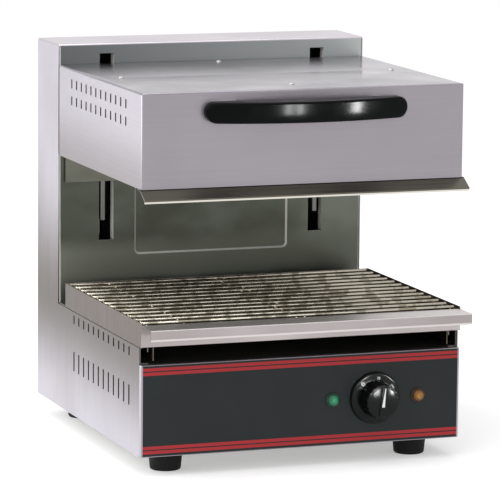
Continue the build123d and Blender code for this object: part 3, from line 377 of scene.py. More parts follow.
@dataclass(frozen=True)
class PolishedSheet(Finish):
    """Bright-annealed stainless sheet: smooth, with slight rolling waves and wiped smears."""

    roughness: float
    grain: Grain
    edge: str | None = None
    reflection_zones: tuple[PaintedReflectionZone, ...] = ()
    border: float | None = None
    smear_mm: tuple[float, float, float] = (111.1, 111.1, 71.43)
    wave_mm: float = 62.5

    def surface(self, tree: Tree) -> dict:
        """Smears roughen the gloss, waves bend the reflection; edges get a painted highlight.

        Args:
            tree: the material's tree.

        Returns:
            The shader's inputs by name.
        """
        smears = pattern(tree, self.smear_mm, 3.0, 0.55)
        colour = blend(tree, smears, self.colour, self.second, PATCHES)
        # Painted reflections at the sheet's head and foot.
        for zone in self.reflection_zones:
            colour = zone.over(tree, colour)
        metal = 1.0
        # Painted highlight: faces not turned to the front are painted pale and less metallic.
        if self.edge:
            flat = facing(tree, "Y", (0.82, 0.96))
            if self.border:
                across = add_node(tree, "Math", {"operation": "ABSOLUTE"},
                                  {0: place_along(tree, "X")})
                inner = share_of(tree, across, fall=(self.border - EDGE_BLUR, self.border))
                flat = add_node(tree, "Math", {"operation": "MULTIPLY"}, {0: flat, 1: inner})
            colour = blend(tree, flat, self.edge, colour)
            metal = add_node(tree, "MapRange", inputs={"Value": flat, "To Min": 0.15})
        relief = add_node(tree, "Math", {"operation": "MULTIPLY_ADD"},
                          {0: pattern(tree, self.grain.value), 1: 0.06,
                           2: pattern(tree, self.wave_mm, 1.0)})
        return {"Base Color": colour, "Metallic": metal,
                **feel(tree, smears, (self.roughness, self.roughness * 1.7), relief, 0.25, 0.5,
                       (0.3, 0.75))}


@dataclass(frozen=True)
class TraySteel(Finish):
    """Satin stainless pan: light outside, with painted shade on the floor inside."""

    inside_shade: str
    roughness: float
    wall: float
    rim_z: float
    low: Vector
    high: Vector
    worn: str = "#BDB6B6"
    fold_highlight: str = "#D0CAC8"
    lip_height: float = 14.5 * MM
    fold_height: float = 2.2 * MM
    blotch_mm: float = 45.45

    def folds(self, tree: Tree) -> Socket:
        """1 on the pull lip's two long folds, which get a painted highlight.

        Args:
            tree: the material's tree.

        Returns:
            The share.
        """
        forward = share_of(tree, place_along(tree, "Y"),
                           fall=(self.low.y - self.wall, self.low.y))
        height = place_along(tree, "Z")
        foot = self.rim_z - self.lip_height + self.fold_height
        lower = share_of(tree, height, fall=(foot, foot + 0.4 * MM))
        upper = share_of(tree, height, (self.rim_z - 1.4 * MM, self.rim_z - 0.9 * MM))
        both = add_node(tree, "Math", {"operation": "MAXIMUM"}, {0: lower, 1: upper})
        return add_node(tree, "Math", {"operation": "MULTIPLY"}, {0: forward, 1: both})

    def inside(self, tree: Tree) -> Socket:
        """1 inside the pan's walls and below its rim.

        Args:
            tree: the material's tree.

        Returns:
            The share.
        """
        across = add_node(tree, "Math", {"operation": "ABSOLUTE"}, {0: place_along(tree, "X")})
        edge = self.high.x - self.wall
        inside = share_of(tree, across, fall=(edge - self.wall / 2, edge - self.wall / 4))
        for limit in (share_of(tree, place_along(tree, "Y"),
                               (self.low.y, self.low.y + self.wall / 2)),
                      share_of(tree, place_along(tree, "Z"),
                               fall=(self.rim_z - 1.2 * MM, self.rim_z - 0.6 * MM))):
            inside = add_node(tree, "Math", {"operation": "MULTIPLY"}, {0: inside, 1: limit})
        return inside

    def surface(self, tree: Tree) -> dict:
        """The second tone is painted shade on the side walls; the inside shade is blotched.

        Args:
            tree: the material's tree.

        Returns:
            The shader's inputs by name.
        """
        blotches = add_node(tree, "MapRange", inputs={
            "Value": pattern(tree, self.blotch_mm, 4.0, 0.6), "From Min": 0.2, "From Max": 0.7,
            "To Min": 0.78})
        # Painted shade inside the pan, in blotches.
        shaded_inside = add_node(tree, "Math", {"operation": "MULTIPLY"},
                           {0: self.inside(tree), 1: blotches})
        grain = pattern(tree, Grain.ACROSS.value, 3.0)
        wear = add_node(tree, "MapRange", inputs={"Value": grain, "From Min": 0.3,
                                                  "From Max": 0.7, "To Max": 0.6})
        light = blend(tree, wear, self.colour, self.worn)
        # Painted highlight on the lip's folds.
        light = blend(tree, self.folds(tree), light, self.fold_highlight)
        # Painted shade: the side walls take the darker second tone.
        light = blend(tree, facing(tree, "X", (0.5, 0.9)), light, self.second)
        return {"Base Color": blend(tree, shaded_inside, light, self.inside_shade), "Metallic": 1.0,
                **feel(tree, grain, (self.roughness * 1.15, self.roughness * 0.85), grain, 0.08,
                       0.2)}


@dataclass(frozen=True)
class PlatedMetal(Finish):
    """Chrome or zinc plate on steel: bright, faintly pitted, a little duller in patches."""

    roughness: float
    patch_mm: float = 30.0
    pit_mm: float = 1.111

    def surface(self, tree: Tree) -> dict:
        """Patches move colour and gloss, pits give a fine relief.

        Args:
            tree: the material's tree.

        Returns:
            The shader's inputs by name.
        """
        patches = pattern(tree, self.patch_mm, 3.0)
        return {"Base Color": blend(tree, patches, self.colour, self.second, PATCHES),
                "Metallic": 1.0,
                **feel(tree, patches, (self.roughness, self.roughness * 1.6),
                       pattern(tree, self.pit_mm), 0.05, 0.05)}


@dataclass(frozen=True)
class StreakedChrome(Finish):
    """Chromed wire above a grill: painted reflections in bright and dark brownish stretches."""

    stretch_mm: tuple[float, float]
    half_width: float
    right_shade: float = 0.80
    slant: float = 0.37
    grit_mm: float = 1.429

    def surface(self, tree: Tree) -> dict:
        """The stretches slant a little from wire to wire; painted shade dulls them to the right.

        Args:
            tree: the material's tree.

        Returns:
            The shader's inputs by name.
        """
        side = place_along(tree, "X")
        back = place_along(tree, "Y")
        level = add_node(tree, "Math", {"operation": "MULTIPLY_ADD"},
                         {0: back, 1: -self.slant, 2: side})
        place = add_node(tree, "CombineXYZ", inputs={"X": level, "Y": back})
        spots = add_node(tree, "Mapping", inputs={
            "Vector": place, "Scale": [1000 / size for size in (*self.stretch_mm, 1000)]})
        stretches = add_node(tree, "TexNoise", inputs={"Vector": spots, "Scale": 1.0})
        # Painted shade, growing to the right.
        right = add_node(tree, "MapRange", inputs={
            "Value": side, "From Min": -0.2 * self.half_width, "From Max": self.half_width,
            "To Max": self.right_shade})
        share = add_node(tree, "Math", {"operation": "MAXIMUM"},
                         {0: share_of(tree, stretches, (0.44, 0.60), smooth=True), 1: right})
        return {"Base Color": blend(tree, share, self.colour, self.second), "Metallic": 1.0,
                **feel(tree, share, (0.22, 0.38), pattern(tree, self.grit_mm), 0.05, 0.05,
                       (0.0, 1.0))}


@dataclass(frozen=True)
class HemmedLip(Finish):
    """Satin deflector: painted shadow at the hood seam, painted highlight on its rolled hem below.
    """

    hem: str
    seam_shadow: str
    low_z: float
    high_z: float
    hem_height: float = 2.4 * MM
    seam_height: float = 1.0 * MM

    def surface(self, tree: Tree) -> dict:
        """The painted hem highlight and seam shadow are ranges of height.

        Args:
            tree: the material's tree.

        Returns:
            The shader's inputs by name.
        """
        height = place_along(tree, "Z")
        grain = pattern(tree, Grain.ACROSS.value, 3.0)
        foot = self.low_z + self.hem_height
        head = self.high_z - self.seam_height
        colour = blend(tree, grain, self.colour, self.second)
        # Painted highlight along the hem, then painted shadow along the seam.
        colour = blend(tree, share_of(tree, height, fall=(foot - EDGE_BLUR, foot)), colour,
                       self.hem)
        colour = blend(tree, height, colour, self.seam_shadow, (head - EDGE_BLUR, head), False)
        return {"Base Color": colour, "Metallic": 1.0,
                **feel(tree, grain, (0.34, 0.26), grain, 0.05, 0.2)}


@dataclass(frozen=True)
class Moulding(Finish):
    """Injection-moulded plastic or rubber: even colour, skin texture, slightly varying gloss."""

    roughness: float
    skin_mm: float = 0.9
    skin_depth: float = 0.06
    shine: float = 0.35
    scuff_mm: float = 26.32

    def surface(self, tree: Tree) -> dict:
        """A pebbled skin, and a little scuffing in patches.

        Args:
            tree: the material's tree.

        Returns:
            The shader's inputs by name.
        """
        scuffs = pattern(tree, self.scuff_mm, 4.0, 0.65)
        worn = add_node(tree, "MapRange", {"interpolation_type": "SMOOTHSTEP"},
                        {"Value": scuffs, "From Min": 0.5, "From Max": 0.8, "To Max": 0.7})
        return {"Base Color": blend(tree, worn, self.colour, self.second), "IOR": 1.5,
                "Specular IOR Level": self.shine,
                **feel(tree, scuffs, (self.roughness, self.roughness * 1.35),
                       pattern(tree, self.skin_mm), self.skin_depth, 0.12, (0.35, 0.75))}


@dataclass(frozen=True)
class StripedFilm(Finish):
    """Screen-printed polyester film: matt charcoal with pairs of red lines near its long edges."""

    bands: tuple[Span, ...]
    ground_patch: str = "#202526"
    ink_patch: str = "#A02C31"
    ink_blur: float = 0.15 * MM
    tooth_mm: float = 0.7143
    cloud_mm: float = 83.33

    def surface(self, tree: Tree) -> dict:
        """The second tone is the ink's; each band of it is a range of heights.

        Args:
            tree: the material's tree.

        Returns:
            The shader's inputs by name.
        """
        height = place_along(tree, "Z")
        ink = 0.0
        for low, high in self.bands:
            band = share_of(tree, height, (low - self.ink_blur, low + self.ink_blur),
                            (high - self.ink_blur, high + self.ink_blur))
            ink = add_node(tree, "Math", {"operation": "ADD"}, {0: ink, 1: band})
        tooth = pattern(tree, self.tooth_mm)
        clouds = pattern(tree, self.cloud_mm, 3.0)
        ground = blend(tree, clouds, self.colour, self.ground_patch, PATCHES)
        red = blend(tree, tooth, self.second, self.ink_patch, (0.3, 0.7), False)
        return {"Base Color": blend(tree, ink, ground, red), "IOR": 1.5,
                "Specular IOR Level": 0.25,
                **feel(tree, clouds, (0.36, 0.46), tooth, 0.06, 0.05)}


@dataclass(frozen=True)
class LampLens(Finish):
    """Transparent coloured acrylic over a neon lamp: dark at the rim, lighter in the middle."""

    bezel: str
    centre: Vector
    radius: float
    fleck_mm: float = 2.381

    def surface(self, tree: Tree) -> dict:
        """The tone goes from the rim's to the second one towards the lamp's axis.

        Args:
            tree: the material's tree.

        Returns:
            The shader's inputs by name.
        """
        place = add_node(tree, "Mapping", inputs={
            "Vector": add_node(tree, "TexCoord", output="Object"), "Scale": (1.0, 0.0, 1.0),
            "Location": (-self.centre.x, 0.0, -self.centre.z)})
        reach = add_node(tree, "VectorMath", {"operation": "LENGTH"}, {0: place}, "Value")
        heart = share_of(tree, reach, fall=(0.1 * self.radius, 0.8 * self.radius), smooth=True)
        flecks = add_node(tree, "MapRange", inputs={
            "Value": pattern(tree, self.fleck_mm), "From Min": 0.3, "From Max": 0.65,
            "To Min": 0.35})
        speckled = add_node(tree, "Math", {"operation": "MULTIPLY"}, {0: heart, 1: flecks})
        glass = blend(tree, speckled, self.colour, self.second)
        colour = blend(tree, reach, glass, self.bezel, (0.82 * self.radius, 0.86 * self.radius),
                       False)
        return {"Base Color": colour, "Roughness": 0.12, "IOR": 1.49, "Specular IOR Level": 0.35,
                "Emission Color": colour, "Emission Strength": 0.08}


@dataclass(frozen=True)
class HeatedSheath(Finish):
    """Nickel alloy tube oxidised by heat: dull brown-grey with lighter and bluish patches."""

    oxide_mm: tuple[float, float, float] = (50.0, 16.67, 16.67)
    dust_mm: float = 1.429

    def surface(self, tree: Tree) -> dict:
        """Oxide patches and a dusty relief.

        Args:
            tree: the material's tree.

        Returns:
            The shader's inputs by name.
        """
        dust = pattern(tree, self.dust_mm, 3.0)
        return {"Base Color": blend(tree, pattern(tree, self.oxide_mm, 4.0, 0.6), self.colour,
                                    self.second, (0.3, 0.7)),
                "Metallic": 0.5, **feel(tree, dust, (0.55, 0.8), dust, 0.15, 0.1)}


@dataclass(frozen=True)
class FibreMat(Finish):
    """Mineral wool: matted pale fibres with yellowish binder."""

    fibre_mm: tuple[float, float, float] = (3.333, 16.67, 3.333)

    def surface(self, tree: Tree) -> dict:
        """A stretched pattern gives the lie of the fibres.

        Args:
            tree: the material's tree.

        Returns:
            The shader's inputs by name.
        """
        fibres = pattern(tree, self.fibre_mm, 6.0, 0.7)
        relief = add_node(tree, "Bump", inputs={"Height": fibres, "Strength": 0.6,
                                                "Distance": 1.5 * MM})
        return {"Base Color": blend(tree, fibres, self.colour, self.second, (0.35, 0.65), False),
                "Sheen Weight": 0.2, "Roughness": 0.95, "Normal": relief}


@dataclass(frozen=True)
class TwistedRope(Finish):
    """Galvanised wire rope: strands laid round each other, drawn as slanting bands."""

    lay_mm: float

    def surface(self, tree: Tree) -> dict:
        """The bands slant with height and place; the second tone is painted shade in the gaps.

        Args:
            tree: the material's tree.

        Returns:
            The shader's inputs by name.
        """
        turns = 1000 / self.lay_mm
        place = add_node(tree, "Mapping", inputs={
            "Vector": add_node(tree, "TexCoord", output="Object"),
            "Scale": (2 * turns, turns, turns)})
        bands = add_node(tree, "TexWave",
                         {"wave_type": "BANDS", "bands_direction": "DIAGONAL"},
                         {"Vector": place, "Scale": 1.0, "Distortion": 0.3}, "Fac")
        return {"Base Color": blend(tree, bands, self.second, self.colour), "Metallic": 1.0,
                **feel(tree, bands, (0.6, 0.35), bands, 0.5, 0.3, (0.0, 1.0))}


# ------------------------------------------------------------------ modelling steps
class Pick(Enum):
    """What a selection in code picks."""

    VERT = "vertices"
    EDGE = "edges"
    FACE = "polygons"


def clear_selection() -> None:
    """Deselect every object, because an operator acts on all that is selected."""
    bpy.ops.object.select_all(action="DESELECT")


def make_active(piece: Shape) -> None:
    """Select one piece alone and make it active."""
    clear_selection()
    piece.select_set(True)
    bpy.context.view_layer.objects.active = piece


def settle(piece: Shape, name: str) -> Shape:
    """Name a piece and put its place, turn and size into its mesh.

    Args:
        piece: the mesh object.
        name: its name.

    Returns:
        The piece.
    """
    piece.name = name
    make_active(piece)
    bpy.ops.object.transform_apply(location=True, rotation=True, scale=True)
    return piece


def add_box(name: str, low: Sequence[float], high: Sequence[float]) -> Shape:
    """Add a box between two corners, to be shaped further.

    Args:
        name: the piece's name.
        low: its lowest corner.
        high: its highest corner.

    Returns:
        The box.
    """
    clear_selection()
    bpy.ops.mesh.primitive_cube_add(size=1.0, location=(Vector(low) + Vector(high)) / 2)
    bpy.context.object.scale = Vector(high) - Vector(low)
    return settle(bpy.context.object, name)


def add_cylinder(name: str, start: Sequence[float], axis: Sequence[float], length: float,
                 radius: float, sides: int = 48) -> Shape:
    """Add a cylinder from a start point along an axis, to be shaped further.

    Args:
        name: the piece's name.
        start: middle of its first end.
        axis: unit vector along it.
        length: its length.
        radius: its radius.
        sides: how many sides it has.

    Returns:
        The cylinder.
    """
    clear_selection()
    way = Vector(axis)
    turn = Vector((0, 0, 1)).rotation_difference(way).to_euler()
    bpy.ops.mesh.primitive_cylinder_add(vertices=sides, radius=radius, depth=length,
                                        location=Vector(start) + way * length / 2,
                                        rotation=turn)
    return settle(bpy.context.object, name)


def pick(piece: Shape, kind: Pick, wanted: Callable[[object], bool]) -> int:
    """Select a mesh's parts in code.

    Args:
        piece: the mesh object.
        kind: vertices, edges or faces.
        wanted: test that gets each vertex, edge or face.

    Returns:
        How many parts were picked.
    """
    mesh = piece.data
    for group in (mesh.vertices, mesh.edges, mesh.polygons):
        group.foreach_set("select", [False] * len(group))
    found = [part for part in getattr(mesh, kind.value) if wanted(part)]
    for part in found:
        part.select = True
        if kind is Pick.EDGE:
            for index in part.vertices:
                mesh.vertices[index].select = True
    bpy.context.tool_settings.mesh_select_mode = tuple(kind is option for option in Pick)
    return len(found)


@contextmanager
def editing(piece: Shape) -> Iterator[None]:
    """Edit mode on one piece, and back to object mode afterwards."""
    make_active(piece)
    bpy.ops.object.mode_set(mode="EDIT")
    try:
        yield
    finally:
        bpy.ops.object.mode_set(mode="OBJECT")


def below(axis: int, level: float) -> EdgeTest:
    """Test for edges with both ends at or below a level on an axis."""
    return lambda a, b: max(a[axis], b[axis]) < level + HAIR


def above(axis: int, level: float) -> EdgeTest:
    """Test for edges with both ends at or above a level on an axis."""
    return lambda a, b: min(a[axis], b[axis]) > level - HAIR


def along(axis: int) -> EdgeTest:
    """Test for edges that run along an axis and not across it."""
    return lambda a, b: abs(a[axis] - b[axis]) > HAIR


def bevel_picked(piece: Shape, width: float, segments: int) -> None:
    """Round the edges that are picked.

    Args:
        piece: the mesh object.
        width: width of the rounding.
        segments: how many faces it has across.
    """
    with editing(piece):
        bpy.ops.mesh.bevel(offset=width, offset_type="OFFSET", segments=segments, profile=0.5,
                           affect="EDGES", clamp_overlap=True)


def round_edges(piece: Shape, wanted: EdgeTest, width: float, segments: int) -> None:
    """Round the edges whose end points pass a test.

    Args:
        piece: the mesh object.
        wanted: test that gets an edge's two end points.
        width: width of the rounding.
        segments: how many faces it has across.
    """
    points = piece.data.vertices
    if not pick(piece, Pick.EDGE, lambda edge: wanted(*(points[end].co for end in edge.vertices))):
        raise ValueError(f"{piece.name}: no edge to round")
    bevel_picked(piece, width, segments)


def cut_across(piece: Shape, places: Sequence[float], axis: int) -> None:
    """Cut a whole mesh by planes across an axis.

    Args:
        piece: the mesh object.
        places: where the planes cut the axis.
        axis: the axis: X, Y or Z.
    """
    way = Vector(float(index == axis) for index in range(3))
    for place in places:
        with editing(piece):
            bpy.ops.mesh.select_all(action="SELECT")
            bpy.ops.mesh.bisect(plane_co=way * place, plane_no=way, use_fill=False)


def scale_picked(piece: Shape, scale: Sequence[float], centre: Sequence[float]) -> None:
    """Scale the parts that are picked about a centre."""
    with editing(piece):
        bpy.ops.transform.resize(value=scale, center_override=centre)


def flute(piece: Shape, centre: Vector, share: float, count: int, start_y: float) -> None:
    """Draw in every fourth line of a cylinder along Y, which leaves flutes between ribs.

    Args:
        piece: the mesh object.
        centre: a point on its axis.
        share: radius at a flute's bottom, as a share of the rib's.
        count: how many flutes it gets.
        start_y: where along Y they start.
    """
    step = math.pi / (2 * count)

    def in_flute(vertex: bpy.types.MeshVertex) -> bool:
        """Whether a vertex lies at the bottom of a flute."""
        angle = math.atan2(vertex.co.z - centre.z, vertex.co.x - centre.x)
        return vertex.co.y > start_y and round(angle / step) % 4 == 0

    pick(piece, Pick.VERT, in_flute)
    scale_picked(piece, (share, 1.0, share), (centre.x, 0.0, centre.z))


def use_modifier(piece: Shape, kind: str, **settings: object) -> None:
    """Add a modifier with its settings and apply it.

    Args:
        piece: the mesh object.
        kind: Blender's name for the modifier's type.
        settings: its properties.
    """
    make_active(piece)
    modifier = piece.modifiers.new(kind.lower(), kind)
    for name, value in settings.items():
        setattr(modifier, name, value)
    bpy.ops.object.modifier_apply(modifier=modifier.name)


def cut_away(piece: Shape, cutter: Shape) -> None:
    """Take a cutter's volume out of a piece, and remove the cutter."""
    use_modifier(piece, "BOOLEAN", operation="DIFFERENCE", solver="EXACT", object=cutter)
    bpy.data.objects.remove(cutter)


def join(name: str, pieces: Sequence[Shape]) -> Shape:
    """Join several meshes into one piece.

    Args:
        name: the piece's name.
        pieces: the meshes.

    Returns:
        The joined piece.
    """
    clear_selection()
    for piece in pieces:
        piece.select_set(True)
    bpy.context.view_layer.objects.active = pieces[0]
    bpy.ops.object.join()
    pieces[0].name = name
    return pieces[0]


def copy_at(piece: Shape, matrix: Matrix) -> Shape:
    """Copy a piece with its own mesh, moved and turned by a matrix.

    Args:
        piece: the mesh object.
        matrix: how the copy is moved and turned.

    Returns:
        The copy.
    """
    twin = piece.copy()
    twin.data = piece.data.copy()
    twin.data.transform(matrix)
    bpy.context.scene.collection.objects.link(twin)
    return twin


def copies(piece: Shape, shifts: Sequence[Sequence[float]]) -> list[Shape]:
    """A piece with its copies, each shifted from it."""
    return [piece, *(copy_at(piece, Matrix.Translation(shift)) for shift in shifts)]


def turned(axis: str, degrees: float) -> Matrix:
    """Turn about one of the frame's axes."""
    return Matrix.Rotation(math.radians(degrees), 4, axis)


def smooth(piece: Shape, angle_deg: float = 35.0) -> Shape:
    """Shade a piece smooth, with edges sharper than an angle left crisp.

    Args:
        piece: the mesh object.
        angle_deg: smallest angle that stays crisp.

    Returns:
        The piece.
    """
    make_active(piece)
    bpy.ops.object.shade_smooth_by_angle(angle=math.radians(angle_deg))
    return piece


def dress(piece: Shape, body: str, finish: Finish, slot: str, *replaced: str) -> None:
    """Give a modelled piece its finish and its body.

    Args:
        piece: the finished mesh.
        body: the moving body that it rides on.
        finish: its finish.
        slot: the record's material slot; not used.
        replaced: frame nodes that it stands for.
    """
    piece.data.materials.clear()
    piece.data.materials.append(finish.build())
    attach(piece, body)
    if replaced:
        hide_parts(*replaced)
    LOG.info("piece %s: %d faces on %s", piece.name, len(piece.data.polygons), body)


# ------------------------------------------------------------------ sub-assemblies
@dataclass
class BowHandle:
    """Moulded bow handle on the hood's front: two feet and a bar that bows forward."""

    finish: Finish = Moulding("gloss_black_abs", "#040505", "#080909", 0.12, 1.4, 0.02, 0.05)
    bar_depth: float = 15.5 * MM
    foot_width: float = 50.0 * MM
    end_depth: float = 12.0 * MM
    end_roundness: float = 0.985
    rim_rounding: float = 11.5 * MM
    inner_rounding: float = 4.0 * MM
    columns: int = 36

    def arc(self, x: float, half_chord: float, chord_y: float, tip_y: float) -> float:
        """Y of an arc through both chord ends and a tip in the middle.

        Args:
            x: place along the chord, from its middle.
            half_chord: half of the chord's length.
            chord_y: Y of the chord.
            tip_y: Y of the arc's tip.

        Returns:
            Y of the arc.
        """
        rise = chord_y - tip_y
        radius = (half_chord ** 2 + rise ** 2) / (2 * rise)
        return tip_y + radius - math.sqrt(radius ** 2 - x ** 2)

    def build(self) -> None:
        """Model the handle from a box: round ends, cut columns, bow them, round the rims."""
        low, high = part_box("hood_handle")
        half = (high.x - low.x) / 2
        gap_half = half - self.foot_width
        piece = add_box("bow_handle", low, high)
        round_edges(piece, along(Y), (high.z - low.z) / 2 * self.end_roundness, 8)
        step = 2 * half / self.columns
        cut_across(piece, [low.x + step * index for index in range(1, self.columns)]
                   + [-gap_half, gap_half], X)

        def front(x: float) -> float:
            """Y of the bowed front."""
            return self.arc(x, half, high.y - self.end_depth, low.y)

        def back(x: float) -> float:
            """Y of the bar's back between the feet."""
            return self.arc(x, gap_half, high.y, low.y + self.bar_depth)

        fronts = set()
        for vertex in piece.data.vertices:
            x = vertex.co.x
            if vertex.co.y < (low.y + high.y) / 2:
                vertex.co.y = front(x)
                fronts.add(vertex.index)
            elif abs(x) < gap_half:
                vertex.co.y = back(x)
        self.round_rim(piece, fronts, self.rim_rounding, 5)
        backs = {vertex.index for vertex in piece.data.vertices
                 if abs(vertex.co.x) < gap_half + HAIR
                 and abs(vertex.co.y - back(vertex.co.x)) < 10 * HAIR}
        self.round_rim(piece, backs, self.inner_rounding, 3)
        dress(smooth(piece, 40.0), "hood", self.finish, "handle_plastic", "hood_handle")

    def round_rim(self, piece: Shape, members: set[int], width: float, segments: int) -> None:
        """Round the rim of the surface whose vertices are given.

        Args:
            piece: the mesh object.
            members: the surface's vertices.
            width: width of the rounding.
            segments: how many faces it has across.
        """
        uses: dict[tuple[int, int], list[bool]] = {}
        for face in piece.data.polygons:
            for key in face.edge_keys:
                uses.setdefault(key, []).append(set(face.vertices) <= members)
        rim = {key for key, sides in uses.items() if sorted(sides) == [False, True]}
        pick(piece, Pick.EDGE, lambda edge: tuple(sorted(edge.vertices)) in rim)
        bevel_picked(piece, width, segments)


@dataclass
class ControlKnob:
    """Thermostat knob: skirt with a printed scale, fluted grip, raised bar with a white line."""

    finish: Finish = Moulding("knob_black_abs", "#070808", "#0D0E0E", 0.13, 1.2, 0.02, 0.13)
    print_finish: Finish = Moulding("white_pad_print", "#F6F7F7", "#E6E8E8", 0.5, 0.8, 0.04)
    skirt_thickness: float = 5.5 * MM
    skirt_rounding: float = 3.2 * MM
    grip_radius: float = 25.0 * MM
    grip_top_radius: float = 23.0 * MM
    grip_set_back: float = 0.8 * MM
    grip_rounding: float = 1.5 * MM
    overlap: float = 1.0 * MM
    flutes: int = 18
    flute_scale: float = 0.945
    dish_margin: float = 4.0 * MM
    dish_rise: float = 0.2 * MM
    dish_sunk: float = 0.4 * MM
    bar_half_width: float = 4.2 * MM
    bar_height: float = 2.4 * MM
    bar_reach: float = 0.86
    bar_rounding: float = 1.6 * MM
    pointer_deg: float = 7.0
    line_widths: Span = (4.0 * MM, 1.0 * MM)
    line_foot: float = -7.0 * MM
    line_reach: float = 0.8
    line_height: float = 0.12 * MM
    line_sunk: float = 0.2 * MM
    line_rounding: float = 0.5 * MM
    print_weight: float = 0.05
    print_depth: float = 0.05 * MM
    numeral_radius: float = 27.0 * MM
    numerals: tuple[tuple[str, float], ...] = (
        ("0", 9.0 * MM), ("75", 4.6 * MM), ("150", 4.6 * MM), ("225", 4.6 * MM),
        ("300", 4.6 * MM))
    first_angle_deg: float = -43.0
    angle_step_deg: float = 50.0

    def build(self) -> None:
        """Model the knob round its axis, which points to the user."""
        low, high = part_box("control_knob")
        radius = (high.x - low.x) / 2
        axis = (low + high) / 2
        front = (0, -1, 0)
        skirt_front = high.y - self.skirt_thickness
        skirt = add_cylinder("skirt", (axis.x, high.y, axis.z), front, self.skirt_thickness,
                             radius, 96)
        round_edges(skirt, below(Y, skirt_front), self.skirt_rounding, 4)
        grip_front = low.y + self.grip_set_back
        grip_back = skirt_front + self.overlap
        grip = add_cylinder("grip", (axis.x, grip_back, axis.z), front, grip_back - grip_front,
                            self.grip_radius, self.flutes * 4)
        pick(grip, Pick.FACE, lambda face: face.normal.y < -0.9)
        share = self.grip_top_radius / self.grip_radius
        scale_picked(grip, (share, 1.0, share), (axis.x, grip_front, axis.z))
        flute(grip, axis, self.flute_scale, self.flutes, low.y)
        round_edges(grip, below(Y, grip_front), self.grip_rounding, 3)
        face = add_cylinder("face_dish", (axis.x, grip_front + self.dish_sunk, axis.z), front,
                            self.dish_sunk + self.dish_rise,
                            self.grip_top_radius - self.dish_margin, 64)
        round_edges(face, below(Y, grip_front - self.dish_rise), 2 * self.dish_rise, 2)
        reach = self.grip_top_radius * self.bar_reach
        bar = add_box("pointer_bar", (axis.x - self.bar_half_width, grip_front - self.bar_height,
                                      axis.z - reach),
                      (axis.x + self.bar_half_width, grip_front + self.overlap, axis.z + reach))
        round_edges(bar, below(Y, grip_front - self.bar_height), self.bar_rounding, 4)
        home = Matrix.Translation((axis.x, 0.0, axis.z))
        turn = home @ turned("Y", self.pointer_deg) @ home.inverted()
        bar.data.transform(turn)
        knob = smooth(join("fluted_knob", [skirt, grip, face, bar]), 38.0)
        dress(knob, "knob", self.finish, "knob_plastic", "control_knob")
        numbers = self.print_scale(axis, skirt_front)
        line = self.pointer_line(axis, grip_front - self.bar_height)
        line.data.transform(turn)
        dress(smooth(join("dial_print", [*numbers, line])), "knob", self.print_finish,
              "knob_plastic")

    def print_scale(self, axis: Vector, skirt_front: float) -> list[Shape]:
        """Print plain numbers on the skirt, each upright towards the knob's axis.

        Args:
            axis: a point on the knob's axis.
            skirt_front: Y of the skirt's front.

        Returns:
            A mesh for each number.
        """
        marks = []
        for index, (text, size) in enumerate(self.numerals):
            clear_selection()
            bpy.ops.object.text_add()
            letters = bpy.context.object.data
            letters.body = text
            letters.size = size
            letters.offset = size * self.print_weight
            letters.align_x = letters.align_y = "CENTER"
            letters.extrude = self.print_depth
            bpy.ops.object.convert(target="MESH")
            mark = bpy.context.object
            place = Matrix.Translation((axis.x, skirt_front - self.print_depth, axis.z))
            lift = Matrix.Translation((0.0, 0.0, self.numeral_radius))
            turn = turned("Y", self.first_angle_deg + index * self.angle_step_deg)
            mark.data.transform(place @ turn @ lift @ turned("X", 90.0))
            marks.append(mark)
        return marks

    def pointer_line(self, axis: Vector, bar_front: float) -> Shape:
        """White line on the bar, narrower towards its head.

        Args:
            axis: a point on the knob's axis.
            bar_front: Y of the bar's front.

        Returns:
            The line.
        """
        foot, head = self.line_widths
        head_z = axis.z + self.grip_top_radius * self.line_reach
        line = add_box("pointer_line",
                       (axis.x - foot / 2, bar_front - self.line_height, axis.z + self.line_foot),
                       (axis.x + foot / 2, bar_front + self.line_sunk, head_z))
        pick(line, Pick.FACE, lambda face: face.normal.z > 0.9)
        scale_picked(line, (head / foot, 1.0, 1.0), (axis.x, 0.0, head_z))
        round_edges(line, along(Y), self.line_rounding, 3)
        return line


@dataclass
class PilotLamp:
    """Round indicator lamp: a rim pressed on the panel and a faceted dome."""

    node: str
    name: str
    rim_tone: str
    heart_tone: str
    bezel_tone: str
    rim_depth: float = 1.9 * MM
    rim_rounding: float = 0.8 * MM
    dome_share: float = 0.84
    dome_sunk: float = 0.4 * MM

    def build(self) -> None:
        """Model the rim from a cylinder and the dome from a sphere cut in half."""
        low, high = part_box(self.node)
        middle = (low + high) / 2
        radius = (high.x - low.x) / 2
        front = high.y - self.rim_depth
        rim = add_cylinder("rim", (middle.x, high.y, middle.z), (0, -1, 0), self.rim_depth,
                           radius)
        round_edges(rim, below(Y, front), self.rim_rounding, 3)
        smooth(rim)
        clear_selection()
        bpy.ops.mesh.primitive_uv_sphere_add(segments=14, ring_count=9, radius=1.0,
                                             rotation=(math.radians(90.0), 0.0, 0.0))
        dome = settle(bpy.context.object, "dome")
        dome_radius = radius * self.dome_share
        dome.scale = (dome_radius, front - low.y, dome_radius)
        dome.location = (middle.x, front, middle.z)
        settle(dome, "dome")
        with editing(dome):
            bpy.ops.mesh.select_all(action="SELECT")
            bpy.ops.mesh.bisect(plane_co=(0.0, front + self.dome_sunk, 0.0), plane_no=(0, 1, 0),
                                use_fill=True, clear_outer=True)
        lens = LampLens(f"{self.name}_acrylic", self.rim_tone, self.heart_tone, self.bezel_tone,
                        middle, radius)
        dress(join(self.name, [rim, dome]), "base", lens, self.node.replace("lamp", "lens"),
              self.node)


